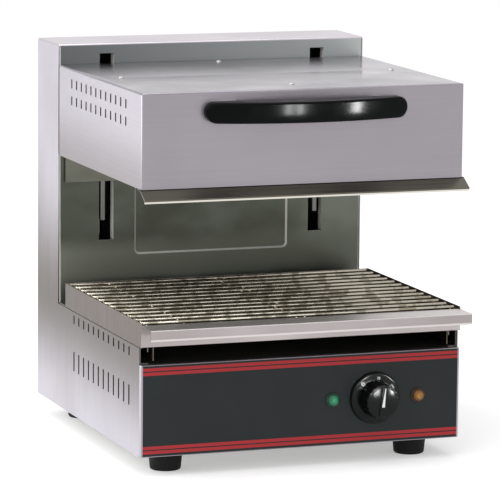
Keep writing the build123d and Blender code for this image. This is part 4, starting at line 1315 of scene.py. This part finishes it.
@dataclass
class WireRack:
    """Chromed wire rack: long wires from side to side, welded on thinner cross wires."""

    wire_radius: float = 2.4 * MM
    cross_radius: float = 1.6 * MM
    wires: int = 13
    weld_depth: float = 1.2 * MM
    edge_inset: float = 10.5 * MM
    cross_inset: float = 62.0 * MM
    centre_offset: float = 6.0 * MM
    end_rounding: float = 0.9 * MM

    def wire(self, start: Sequence[float], axis: int, length: float, radius: float) -> Shape:
        """One straight wire along X or Y, with rounded ends.

        Args:
            start: middle of its first end.
            axis: X or Y.
            length: its length.
            radius: its radius.

        Returns:
            The wire.
        """
        way = [float(index == axis) for index in range(3)]
        piece = add_cylinder("wire", start, way, length, radius, 14)
        round_edges(piece, lambda a, b: abs(a[axis] - b[axis]) < HAIR, self.end_rounding, 2)
        return piece

    def build(self) -> None:
        """Model one long wire and one cross wire, and copy them to their places."""
        low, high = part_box("wire_rack")
        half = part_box("drip_tray")[1].x
        top_z = high.z - self.wire_radius
        first = low.y + self.wire_radius
        pitch = (high.y - self.wire_radius - first) / (self.wires - 1)
        long_wire = self.wire((low.x, first, top_z), X, high.x - low.x, self.wire_radius)
        pieces = copies(long_wire, [(0.0, index * pitch, 0.0) for index in range(1, self.wires)])
        cross_z = top_z - self.wire_radius - self.cross_radius + self.weld_depth
        outer, inner = half - self.edge_inset, half - self.cross_inset
        cross = self.wire((-outer, low.y, cross_z), Y, high.y - low.y, self.cross_radius)
        pieces += copies(cross, [(x + outer, 0.0, 0.0) for x in (
            -inner, -self.centre_offset, self.centre_offset, inner, outer)])
        chrome = StreakedChrome("streaked_rack_chrome", "#EAE4D5", "#9B9484", (21.0, 90.0), half)
        dress(smooth(join("chromed_rack", pieces), 50.0), "rack", chrome, "rack_chrome",
              "wire_rack")


@dataclass
class HoodLid:
    """Hood's lid: thin sheet with folded edges, pulled down at its four screws."""

    finish: Finish = PolishedSheet("lid_bright_stainless", "#A09BA2", "#959198", 0.17,
                                   Grain.ACROSS)
    sheet: float = 1.2 * MM
    bend: float = 2.2 * MM
    rows: int = 48
    pillow: float = 0.9 * MM
    pillow_fullness: float = 0.8
    wave: float = 0.35 * MM
    wave_length: float = 120.0 * MM
    edge_fade: float = 26.0 * MM
    seed_shift: tuple[float, float, float] = (3.7, 1.9, 0.4)

    def rise(self, x: float, y: float, low: Vector, high: Vector) -> float:
        """How far the sheet stands above flat at a place.

        Args:
            x: place from left to right.
            y: place from front to back.
            low: the lid's lowest corner.
            high: its highest corner.

        Returns:
            The height above flat.
        """
        u = (x - low.x) / (high.x - low.x)
        v = (y - low.y) / (high.y - low.y)
        pillow = abs(math.sin(2 * math.pi * u) * math.sin(2 * math.pi * v)) ** self.pillow_fullness
        point = Vector((x / self.wave_length, y / self.wave_length, 0.0))
        wave = 0.5 + 0.5 * noise.noise(point + Vector(self.seed_shift))
        edge = min(x - low.x, high.x - x, y - low.y, high.y - y)
        fade = min(1.0, max(0.0, edge / self.edge_fade))
        return fade * fade * (3 - 2 * fade) * (self.pillow * pillow + self.wave * wave)

    def build(self) -> None:
        """Model the lid from a box without a floor, round its folds and press its surface."""
        low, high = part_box("hood_top")
        lid = add_box("hood_lid", low, high)
        pick(lid, Pick.FACE, lambda face: face.normal.z < -0.9)
        with editing(lid):
            bpy.ops.mesh.delete(type="FACE")
        upright, top = along(Z), above(Z, high.z)
        round_edges(lid, lambda a, b: top(a, b) or upright(a, b), self.bend, 4)
        for axis in (X, Y):
            step = (high[axis] - low[axis]) / self.rows
            cut_across(lid, [low[axis] + step * index for index in range(1, self.rows)], axis)
        for vertex in lid.data.vertices:
            if vertex.co.z > high.z - 10 * HAIR:
                vertex.co.z += self.rise(vertex.co.x, vertex.co.y, low, high)
        use_modifier(lid, "SOLIDIFY", thickness=self.sheet, offset=-1.0)
        dress(smooth(lid, 30.0), "hood", self.finish, "lid_steel", "hood_top")


@dataclass
class RubberFeet:
    """Four tapered rubber feet with a rounded tread and a recess for their bolts."""

    finish: Finish = Moulding("black_foot_rubber", "#0E0F10", "#17181A", 0.62, 1.2, 0.12, 0.25)
    top_radius: float = 23.0 * MM
    bottom_radius: float = 20.5 * MM
    recess_radius: float = 7.8 * MM
    recess_depth: float = 9.0 * MM
    tread_rounding: float = 2.4 * MM
    top_rounding: float = 0.8 * MM

    def build(self) -> None:
        """Model one foot and copy it to the frame's four corners."""
        low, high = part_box("rubber_feet")
        start = Vector((low.x + self.top_radius, low.y + self.top_radius, 0.0))
        foot = add_cylinder("foot", start, (0, 0, 1), high.z - low.z, self.top_radius, 56)
        pick(foot, Pick.FACE, lambda face: face.normal.z < -0.9)
        share = self.bottom_radius / self.top_radius
        with editing(foot):
            bpy.ops.transform.resize(value=(share, share, 1.0), center_override=start)
            bpy.ops.mesh.inset(thickness=self.bottom_radius - self.recess_radius)
            bpy.ops.mesh.extrude_region_move(
                TRANSFORM_OT_translate={"value": (0.0, 0.0, self.recess_depth)})
        rim = (self.bottom_radius + self.recess_radius) / 2
        floor = below(Z, 0.0)
        round_edges(foot, lambda a, b: floor(a, b) and (a.xy - start.xy).length > rim
                    and (b.xy - start.xy).length > rim, self.tread_rounding, 4)
        round_edges(foot, above(Z, high.z - low.z), self.top_rounding, 2)
        reach_x, reach_y = (high[axis] - low[axis] - 2 * self.top_radius for axis in (X, Y))
        feet = copies(foot, [(reach_x, 0.0, 0.0), (0.0, reach_y, 0.0), (reach_x, reach_y, 0.0)])
        dress(smooth(join("tapered_feet", feet)), "base", self.finish, "foot_rubber",
              "rubber_feet")


@dataclass
class CrossHeadScrews:
    """Pan head screws with a cross recess, all alike."""

    finish: Finish = PlatedMetal("zinc_plated_screws", "#C4C4C0", "#ACACA8", 0.28, 10.0)
    head_radius: float = 3.6 * MM
    head_height: float = 2.0 * MM
    head_rounding: float = 1.3 * MM
    shank_radius: float = 1.9 * MM
    shank_rounding: float = 0.5 * MM
    shank_overlap: float = 0.1 * MM
    slot_length: float = 4.0 * MM
    slot_width: float = 0.9 * MM
    slot_depth: float = 1.3 * MM
    slot_rounding: float = 0.2 * MM
    lid_turns: tuple[float, ...] = (0.3, 1.1, 0.7, 1.9)
    rows: int = 4

    def master(self, shank_length: float) -> Shape:
        """One screw at the origin, its head seated at Z = 0 and pointing up.

        Args:
            shank_length: length of the shank below the seat.

        Returns:
            The screw.
        """
        head = add_cylinder("head", (0, 0, 0), (0, 0, 1), self.head_height, self.head_radius, 32)
        round_edges(head, above(Z, self.head_height), self.head_rounding, 4)
        floor = self.head_height - self.slot_depth
        reach = (self.slot_length / 2, self.slot_width / 2)
        for x, y in (reach, reach[::-1]):
            cutter = add_box("slot", (-x, -y, floor), (x, y, self.head_height + 1 * MM))
            round_edges(cutter, below(Z, floor), self.slot_rounding, 1)
            cut_away(head, cutter)
        shank = add_cylinder("shank", (0, 0, self.shank_overlap), (0, 0, -1), shank_length,
                             self.shank_radius, 16)
        round_edges(shank, below(Z, self.shank_overlap - shank_length), self.shank_rounding, 2)
        return join("screw", [head, shank])

    def place(self, name: str, node: str, body: str, matrices: Sequence[Matrix],
              shank_length: float) -> None:
        """Copy the screw to its places and join the copies into one piece.

        Args:
            name: the piece's name.
            node: frame node that the screws stand for.
            body: body that they ride on.
            matrices: where each screw goes.
            shank_length: length of a shank below the seat.
        """
        screw = self.master(shank_length)
        screws = [copy_at(screw, matrix) for matrix in matrices]
        bpy.data.objects.remove(screw)
        dress(smooth(join(name, screws)), body, self.finish, "zinc_steel", node)

    def build(self) -> None:
        """Set the lid's four screws and the back sheet's eight."""
        low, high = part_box("lid_screws")
        seat = high.z - self.head_height
        inset = self.head_radius
        hood_y = sum(corner.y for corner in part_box("hood_wrap")) / 2
        spots = ((0.0, low.y + inset), (0.0, high.y - inset), (low.x + inset, hood_y),
                 (high.x - inset, hood_y))
        self.place("lid_cross_screws", "lid_screws", "hood",
                   [Matrix.Translation((x, y, seat)) @ Matrix.Rotation(turn, 4, "Z")
                    for (x, y), turn in zip(spots, self.lid_turns)], seat - low.z)
        low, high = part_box("rear_screws")
        seat = high.y - self.head_height
        pitch = (high.z - low.z - 2 * inset) / (self.rows - 1)
        self.place("back_cross_screws", "rear_screws", "base",
                   [Matrix.Translation((x, seat, low.z + inset + row * pitch))
                    @ turned("X", -90.0) @ Matrix.Rotation(0.8 * row + 3.0 * x, 4, "Z")
                    for row in range(self.rows) for x in (low.x + inset, high.x - inset)],
                   seat - low.y)


@dataclass
class CableGland:
    """Moulded cable gland: hexagonal flange, ribbed dome nut with an open bore, inner nut."""

    finish: Finish = Moulding("black_polyamide", "#18191A", "#232425", 0.48, 1.0, 0.10)
    flange: float = 3.0 * MM
    flange_radius: float = 14.0 * MM
    dome_radius: float = 11.0 * MM
    dome_rounding: float = 2.4 * MM
    bore_radius: float = 4.5 * MM
    inner_nut: float = 6.0 * MM
    inner_nut_radius: float = 15.0 * MM
    nut_rounding: float = 0.6 * MM
    thread_depth: float = 0.5 * MM
    sheet: float = 1.2 * MM
    ribs: int = 12
    rib_scale: float = 0.94
    rib_ends: Span = (1.0 * MM, 3.5 * MM)

    def build(self) -> None:
        """Model the gland along its axis, which points backwards."""
        low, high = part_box("cable_gland")
        middle = (low + high) / 2
        back_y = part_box("column_back")[1].y
        length = high.y - low.y

        def turning(name: str, start_y: float, reach: float, radius: float,
                    sides: int = 32) -> Shape:
            """Cylinder on the gland's axis."""
            return add_cylinder(name, (middle.x, start_y, middle.z), (0, 1, 0), reach, radius,
                                sides)

        flange = turning("flange", back_y, self.flange, self.flange_radius, 6)
        dome = turning("dome", low.y, length, self.dome_radius, self.ribs * 4)
        dome_start = back_y + self.flange
        start, end = self.rib_ends
        cut_across(dome, [dome_start + start, high.y - end], Y)
        flute(dome, middle, self.rib_scale, self.ribs, dome_start)
        round_edges(dome, above(Y, high.y), self.dome_rounding, 4)
        cut_away(dome, turning("bore", low.y - 1 * MM, length + 2 * MM, self.bore_radius))
        nut = turning("nut", back_y - self.sheet - self.inner_nut, self.inner_nut,
                      self.inner_nut_radius, 6)
        for hexagon in (flange, nut):
            round_edges(hexagon, lambda a, b: True, self.nut_rounding, 2)
        cut_away(nut, turning("core", low.y, length, self.dome_radius - self.thread_depth))
        dress(smooth(join("ribbed_gland", [dome, flange, nut])), "base", self.finish,
              "black_plastic", "cable_gland")


# ------------------------------------------------------------------ frame's own sheets
@dataclass
class FrameDresser:
    """Gives every frame node that stays its finish.

    The film's printed lines are given in mm above the front panel's foot.
    """

    nodes: dict[str, Shape]
    lines_mm: tuple[Span, ...] = ((4.6, 8.9), (10.4, 14.7), (108.8, 113.1), (114.6, 118.9))

    def paint(self, finish: Finish, *names: str) -> None:
        """Put one finish in every material slot of the named nodes.

        Args:
            finish: the finish.
            names: the frame nodes.
        """
        material = finish.build()
        for name in names:
            node = self.nodes[name]
            if not node.material_slots:
                node.data.materials.append(material)
            for slot in node.material_slots:
                slot.material = material
            LOG.info("frame node %s: %s", name, material.name)

    def dress_base(self) -> None:
        """Finish the base's outside, the back sheet and the tray."""
        tray_low, tray_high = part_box("drip_tray")
        panel_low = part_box("front_panel")[0]
        lines = tuple((panel_low.z + low * MM, panel_low.z + high * MM)
                      for low, high in self.lines_mm)
        self.paint(StripedFilm("printed_polyester_film", "#1A1F20", "#BC3237", lines),
                   "control_fascia")
        # Painted shade: each side panel gets a darker band about the tray's height, darker on the
        # left.
        for side, tone in (("left", "#564F4A"), ("right", "#8A847F")):
            shade_band = PaintedShadeBand(tone, tray_low.z + 22 * MM, 215.0 * MM, 164.0 * MM)
            self.paint(BrushedSheet(f"{side}_side_brushed_stainless", "#BDBAC3", "#B2ADB5", 0.34,
                                    Grain.UPRIGHT, shade_band=shade_band), f"side_panel_{side}")
        self.paint(BrushedSheet("back_brushed_stainless", "#B9B5BE", "#ACA6AD", 0.36,
                                Grain.UPRIGHT), "column_back")
        # Tray: painted shade inside and on the side walls, painted highlight on the lip's folds.
        self.paint(TraySteel("tray_satin_stainless", "#9E9796", "#5A514B", "#5D584B", 0.40,
                             2.0 * MM, tray_high.z - 3.0 * MM,
                             Vector((tray_low.x, panel_low.y, tray_low.z)), tray_high),
                   "drip_tray", "rack_ledges")

    def dress_hood(self) -> None:
        """Finish the hood's sheets, and the front panel, which is of the same sheet."""
        low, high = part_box("hood_wrap")
        # Painted shade: the hood's sides are painted darker towards their foot.
        hem = PaintedShadeBand("#8B8689", low.z, 85.0 * MM, 10.0 * MM)
        # Painted light: the hood's sides take a lighter tone than its front.
        self.paint(BrushedSheet("hood_brushed_stainless", "#9E989F", "#9A949B", 0.36, Grain.LEVEL,
                                0.03, streak=0.012, shade_band=hem, side="#AEAAB2"),
                   "hood_wrap", "front_panel")
        # Painted shade: the plate behind the hood is painted olive, darker than the hood's steel.
        self.paint(PolishedSheet("plate_bright_stainless", "#797A6F", "#6F7065", 0.24,
                                 Grain.LEVEL), "hood_back_plate")
        # Painted shade: the lip is painted darker than the hood, with a painted hem highlight and
        # seam shadow.
        self.paint(HemmedLip("lip_brushed_stainless", "#6B685E", "#5E5B52", "#DAD6CC", "#1C1C1A",
                             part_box("hood_lip")[0].z, low.z), "hood_lip")
        self.paint(PolishedSheet("reflector_heated_stainless", "#9A938A", "#7A6C5C", 0.22,
                                 Grain.BACKWARD), "hood_reflector")

    def dress_column(self) -> None:
        """Finish the column's front and cap."""
        half, rim_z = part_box("drip_tray")[1].xz
        top_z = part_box("hood_wrap")[1].z
        # Painted reflections: lighter to the right at the column's head, darker to the right at its
        # foot.
        head = PaintedReflectionZone("#757978", "#ADB1B0", top_z - 60 * MM, top_z, half)
        foot = PaintedReflectionZone("#8C9084", "#575A52", rim_z + 62 * MM, rim_z + 30 * MM, half)
        # Painted shade: the column front's steel is painted dark olive for the dark reflection
        # under the hood.
        self.paint(PolishedSheet("column_bright_stainless", "#666A61", "#5C5F55", 0.30,
                                 # F2F1EC is the painted highlight on the column front's folds and
                                 # slot returns.
                                 Grain.LEVEL, "#F2F1EC", (head, foot), half - 2.2 * MM),
                   "column_front")
        self.paint(BrushedSheet("cap_brushed_stainless", "#D0CAD0", "#C7C0C7", 0.30,
                                Grain.ACROSS), "column_top")

    def dress_inside(self) -> None:
        """Finish the lift, wiring, heating and inner sheets."""
        self.paint(BrushedSheet("plain_inner_stainless", "#8E8C88", "#7E7C78", 0.42,
                                Grain.ACROSS), "base_floor", "base_deck", "hood_stiffener",
                   "element_hangers", "tray_rail_left", "tray_rail_right", "lift_arm_left",
                   "lift_arm_right")
        self.paint(PlatedMetal("zinc_plated_steel", "#B9B8B0", "#A3A49E", 0.32),
                   "pulley_brackets", "pulley_pins", "knob_shaft", "handle_screws", "foot_bolts")
        self.paint(PlatedMetal("hard_chromed_rod", "#C8C8C8", "#BDBDBD", 0.10), "guide_rods",
                   "weight_guide_rods")
        self.paint(Moulding("black_painted_steel", "#26282A", "#34363A", 0.45, 1.6, 0.10),
                   "lower_beam", "top_beam", "rod_clamps", "carriage_crossbar", "counterweight")
        self.paint(PlatedMetal("black_anodised_aluminium", "#1C1D1E", "#242526", 0.38),
                   "slide_blocks", "pulley_left", "pulley_right")
        self.paint(PlatedMetal("sintered_bronze", "#9A7440", "#7E5E34", 0.42, 12.0),
                   "guide_bushes")
        self.paint(Moulding("buffer_nitrile_rubber", "#17181A", "#222325", 0.65, 1.2, 0.12),
                   "stop_buffers")
        self.paint(Moulding("silicone_lead_sheath", "#1E1E1F", "#2A2A2B", 0.5, 2.5, 0.08),
                   "base_loom", "hood_lead")
        self.paint(Moulding("black_phenolic", "#1A1B1C", "#26272A", 0.38, 1.1, 0.08),
                   "thermostat", "lamp_holders", "lead_clip", "carriage_terminal")
        self.paint(Moulding("white_polyamide", "#E2DFD6", "#CFCBC0", 0.42, 1.4, 0.06),
                   "terminal_block")
        self.paint(Moulding("steatite_ceramic", "#E8E2D4", "#D2CAB8", 0.5, 0.8, 0.05),
                   "element_terminals")
        self.paint(HeatedSheath("oxidised_nickel_sheath", "#4A4039", "#6A5E54"),
                   "heating_elements")
        self.paint(FibreMat("mineral_wool_mat", "#CFC49C", "#A8965E"), "hood_insulation")
        self.paint(TwistedRope("galvanised_wire_rope", "#A8A8A2", "#3A3A38", 9.0),
                   "lift_cable_left", "lift_cable_right")


# ------------------------------------------------------------------ studio
@dataclass
class Studio:
    """Pale floor, white background, soft lamps and the camera at the photograph's angle."""

    floor_half: float = 14.0
    floor_drop: float = 0.2 * MM
    floor_colour: str = "#E6E6E6"
    floor_glow: float = 0.38
    ambient: float = 0.62
    yaw_deg: float = 20.108
    pitch_deg: float = 8.97
    roll_deg: float = 0.56
    camera_place: tuple[float, float, float] = (-1.71086, -4.68404, 1.04628)
    lens_mm: float = 265.3
    target: tuple[float, float, float] = (0.0, 0.0, 0.27)
    strips: tuple[tuple[str, float, float], ...] = (
        ("near_strip", 8.2, 0.06), ("middle_strip", 12.8, 0.06), ("far_strip", 36.5, 0.16))
    strip_reach: float = 2.6
    strip_centre: float = 0.42
    strip_height: float = 0.62
    strip_glow: float = 240.0

    def level(self, tree: Tree, light: float, shown: float) -> Socket:
        """One level for rays that light the object, and one for rays that show the background.

        Args:
            tree: tree of the world or the floor.
            light: level for the rays that light the object.
            shown: level for the rays that show the background.

        Returns:
            The level.
        """
        camera, glossy, through = (add_node(tree, "LightPath", output=f"Is {kind} Ray")
                                   for kind in ("Camera", "Glossy", "Transmission"))
        either = add_node(tree, "Math", {"operation": "MAXIMUM"}, {0: camera, 1: glossy})
        seen = add_node(tree, "Math", {"operation": "MAXIMUM"}, {0: either, 1: through})
        return add_node(tree, "MapRange", inputs={"Value": seen, "To Min": light,
                                                  "To Max": shown})

    def build_world(self) -> None:
        """White background; the light that it gives is dimmer."""
        world = bpy.data.worlds.new("studio_world")
        tree = bare_tree(world)
        white = add_node(tree, "Background", inputs={
            "Color": (1.0, 1.0, 1.0, 1.0), "Strength": self.level(tree, self.ambient, 1.0)})
        add_node(tree, "OutputWorld", inputs={"Surface": white})
        bpy.context.scene.world = world

    def build_floor(self) -> None:
        """Wide pale floor that keeps the object's shadow."""
        clear_selection()
        bpy.ops.mesh.primitive_plane_add(size=2 * self.floor_half,
                                         location=(0.0, 0.0, -self.floor_drop))
        floor = settle(bpy.context.object, "studio_floor")
        material = bpy.data.materials.new("studio_paper")
        tree = bare_tree(material)
        paper = add_node(tree, "BsdfDiffuse", inputs={"Color": linear(self.floor_colour)})
        glow = add_node(tree, "Emission", inputs={
            "Color": (1.0, 1.0, 1.0, 1.0), "Strength": self.level(tree, 0.0, self.floor_glow)})
        both = add_node(tree, "AddShader", inputs={0: paper, 1: glow})
        add_node(tree, "OutputMaterial", inputs={"Surface": both})
        floor.data.materials.append(material)

    def add_lamp(self, name: str, kind: str, place: Sequence[float], power: float,
                 size: Span | float) -> Shape:
        """Add a soft lamp that faces the object.

        Args:
            name: the lamp's name.
            kind: SUN or AREA.
            place: where it stands, in metres.
            power: strength for a sun, watts for an area lamp.
            size: angle in degrees for a sun, width and height in metres for an area lamp.

        Returns:
            The lamp.
        """
        data = bpy.data.lights.new(name, kind)
        data.energy = power
        if kind == "SUN":
            data.angle = math.radians(size)
        else:
            data.shape = "RECTANGLE"
            data.size, data.size_y = size
        lamp = bpy.data.objects.new(name, data)
        lamp.location = place
        way = Vector(self.target) - Vector(place)
        lamp.rotation_euler = way.to_track_quat("-Z", "Y").to_euler()
        bpy.context.scene.collection.objects.link(lamp)
        return lamp

    def glint_on(self, *pieces: Shape) -> None:
        """Add narrow strip boxes on the right that light glossy mouldings alone.

        Args:
            pieces: the mouldings.
        """
        glossy = bpy.data.collections.new("glossy_mouldings")
        for piece in pieces:
            glossy.objects.link(piece)
        for name, turn_deg, width in self.strips:
            turn = math.radians(turn_deg)
            place = (self.strip_reach * math.sin(turn), -self.strip_reach * math.cos(turn),
                     self.strip_centre)
            power = self.strip_glow * math.pi * width * self.strip_height
            lamp = self.add_lamp(name, "AREA", place, power, (width, self.strip_height))
            lamp.light_linking.receiver_collection = glossy

    def flag_off(self, *pieces: Shape) -> None:
        """Keep the side panel's light off flat tops, as a flag beside a lamp does.

        Args:
            pieces: the flat tops.
        """
        flagged = bpy.data.collections.new("flagged_off_side_panel")
        for piece in pieces:
            flagged.objects.link(piece)
        for entry in flagged.collection_objects:
            entry.light_linking.link_state = "EXCLUDE"
        bpy.data.objects["side_panel"].light_linking.receiver_collection = flagged

    def build_lamps(self) -> None:
        """Soft key, top and left panels."""
        self.add_lamp("key_sun", "SUN", (-2.4, -2.2, 3.2), 0.75, 55.0)
        self.add_lamp("side_panel", "AREA", (-2.2, 1.0, 0.9), 58.0, (2.7, 2.7))
        self.add_lamp("top_panel", "AREA", (-0.2, -0.3, 2.4), 22.0, (1.8, 1.8))

    def build_camera(self) -> None:
        """Camera solved from the photograph's straight edges."""
        yaw, pitch, roll = (math.radians(value)
                            for value in (self.yaw_deg, self.pitch_deg, self.roll_deg))
        forward = Vector((math.sin(yaw) * math.cos(pitch), math.cos(yaw) * math.cos(pitch),
                          -math.sin(pitch)))
        right = Vector((math.cos(yaw), -math.sin(yaw), 0.0))
        up = right.cross(forward)
        rolled_right = right * math.cos(roll) + up * math.sin(roll)
        rolled_up = up * math.cos(roll) - right * math.sin(roll)
        matrix = Matrix((rolled_right, rolled_up, -forward)).transposed().to_4x4()
        matrix.translation = Vector(self.camera_place)
        data = bpy.data.cameras.new("studio_camera")
        data.lens = self.lens_mm
        data.sensor_width = 36.0
        data.clip_end = 60.0
        camera = bpy.data.objects.new("studio_camera", data)
        camera.matrix_world = matrix
        bpy.context.scene.collection.objects.link(camera)
        bpy.context.scene.camera = camera

    def build(self) -> None:
        """Set up the camera, world, floor, lamps and view transform."""
        self.build_camera()
        self.build_world()
        self.build_floor()
        self.build_lamps()
        bpy.context.scene.view_settings.view_transform = "Standard"


def main() -> None:
    logging.basicConfig(level=logging.INFO, format="%(name)s %(message)s")
    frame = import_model()
    studio = Studio()
    studio.build()
    for assembly in (
            BowHandle(), ControlKnob(),
            PilotLamp("green_lamp", "green_pilot_lamp", "#0B4A34", "#3FAE80", "#15241F"),
            PilotLamp("amber_lamp", "amber_pilot_lamp", "#4C2C0A", "#C88A38", "#241A10"),
            WireRack(), HoodLid(), RubberFeet(), CrossHeadScrews(), CableGland()):
        assembly.build()
    dresser = FrameDresser(frame["nodes"])
    dresser.dress_base()
    dresser.dress_hood()
    dresser.dress_column()
    dresser.dress_inside()
    pieces = bpy.data.objects
    studio.flag_off(pieces["hood_lid"], pieces["column_top"])
    studio.glint_on(pieces["bow_handle"], pieces["fluted_knob"])
    clear_selection()


if __name__ == "__main__":
    main()
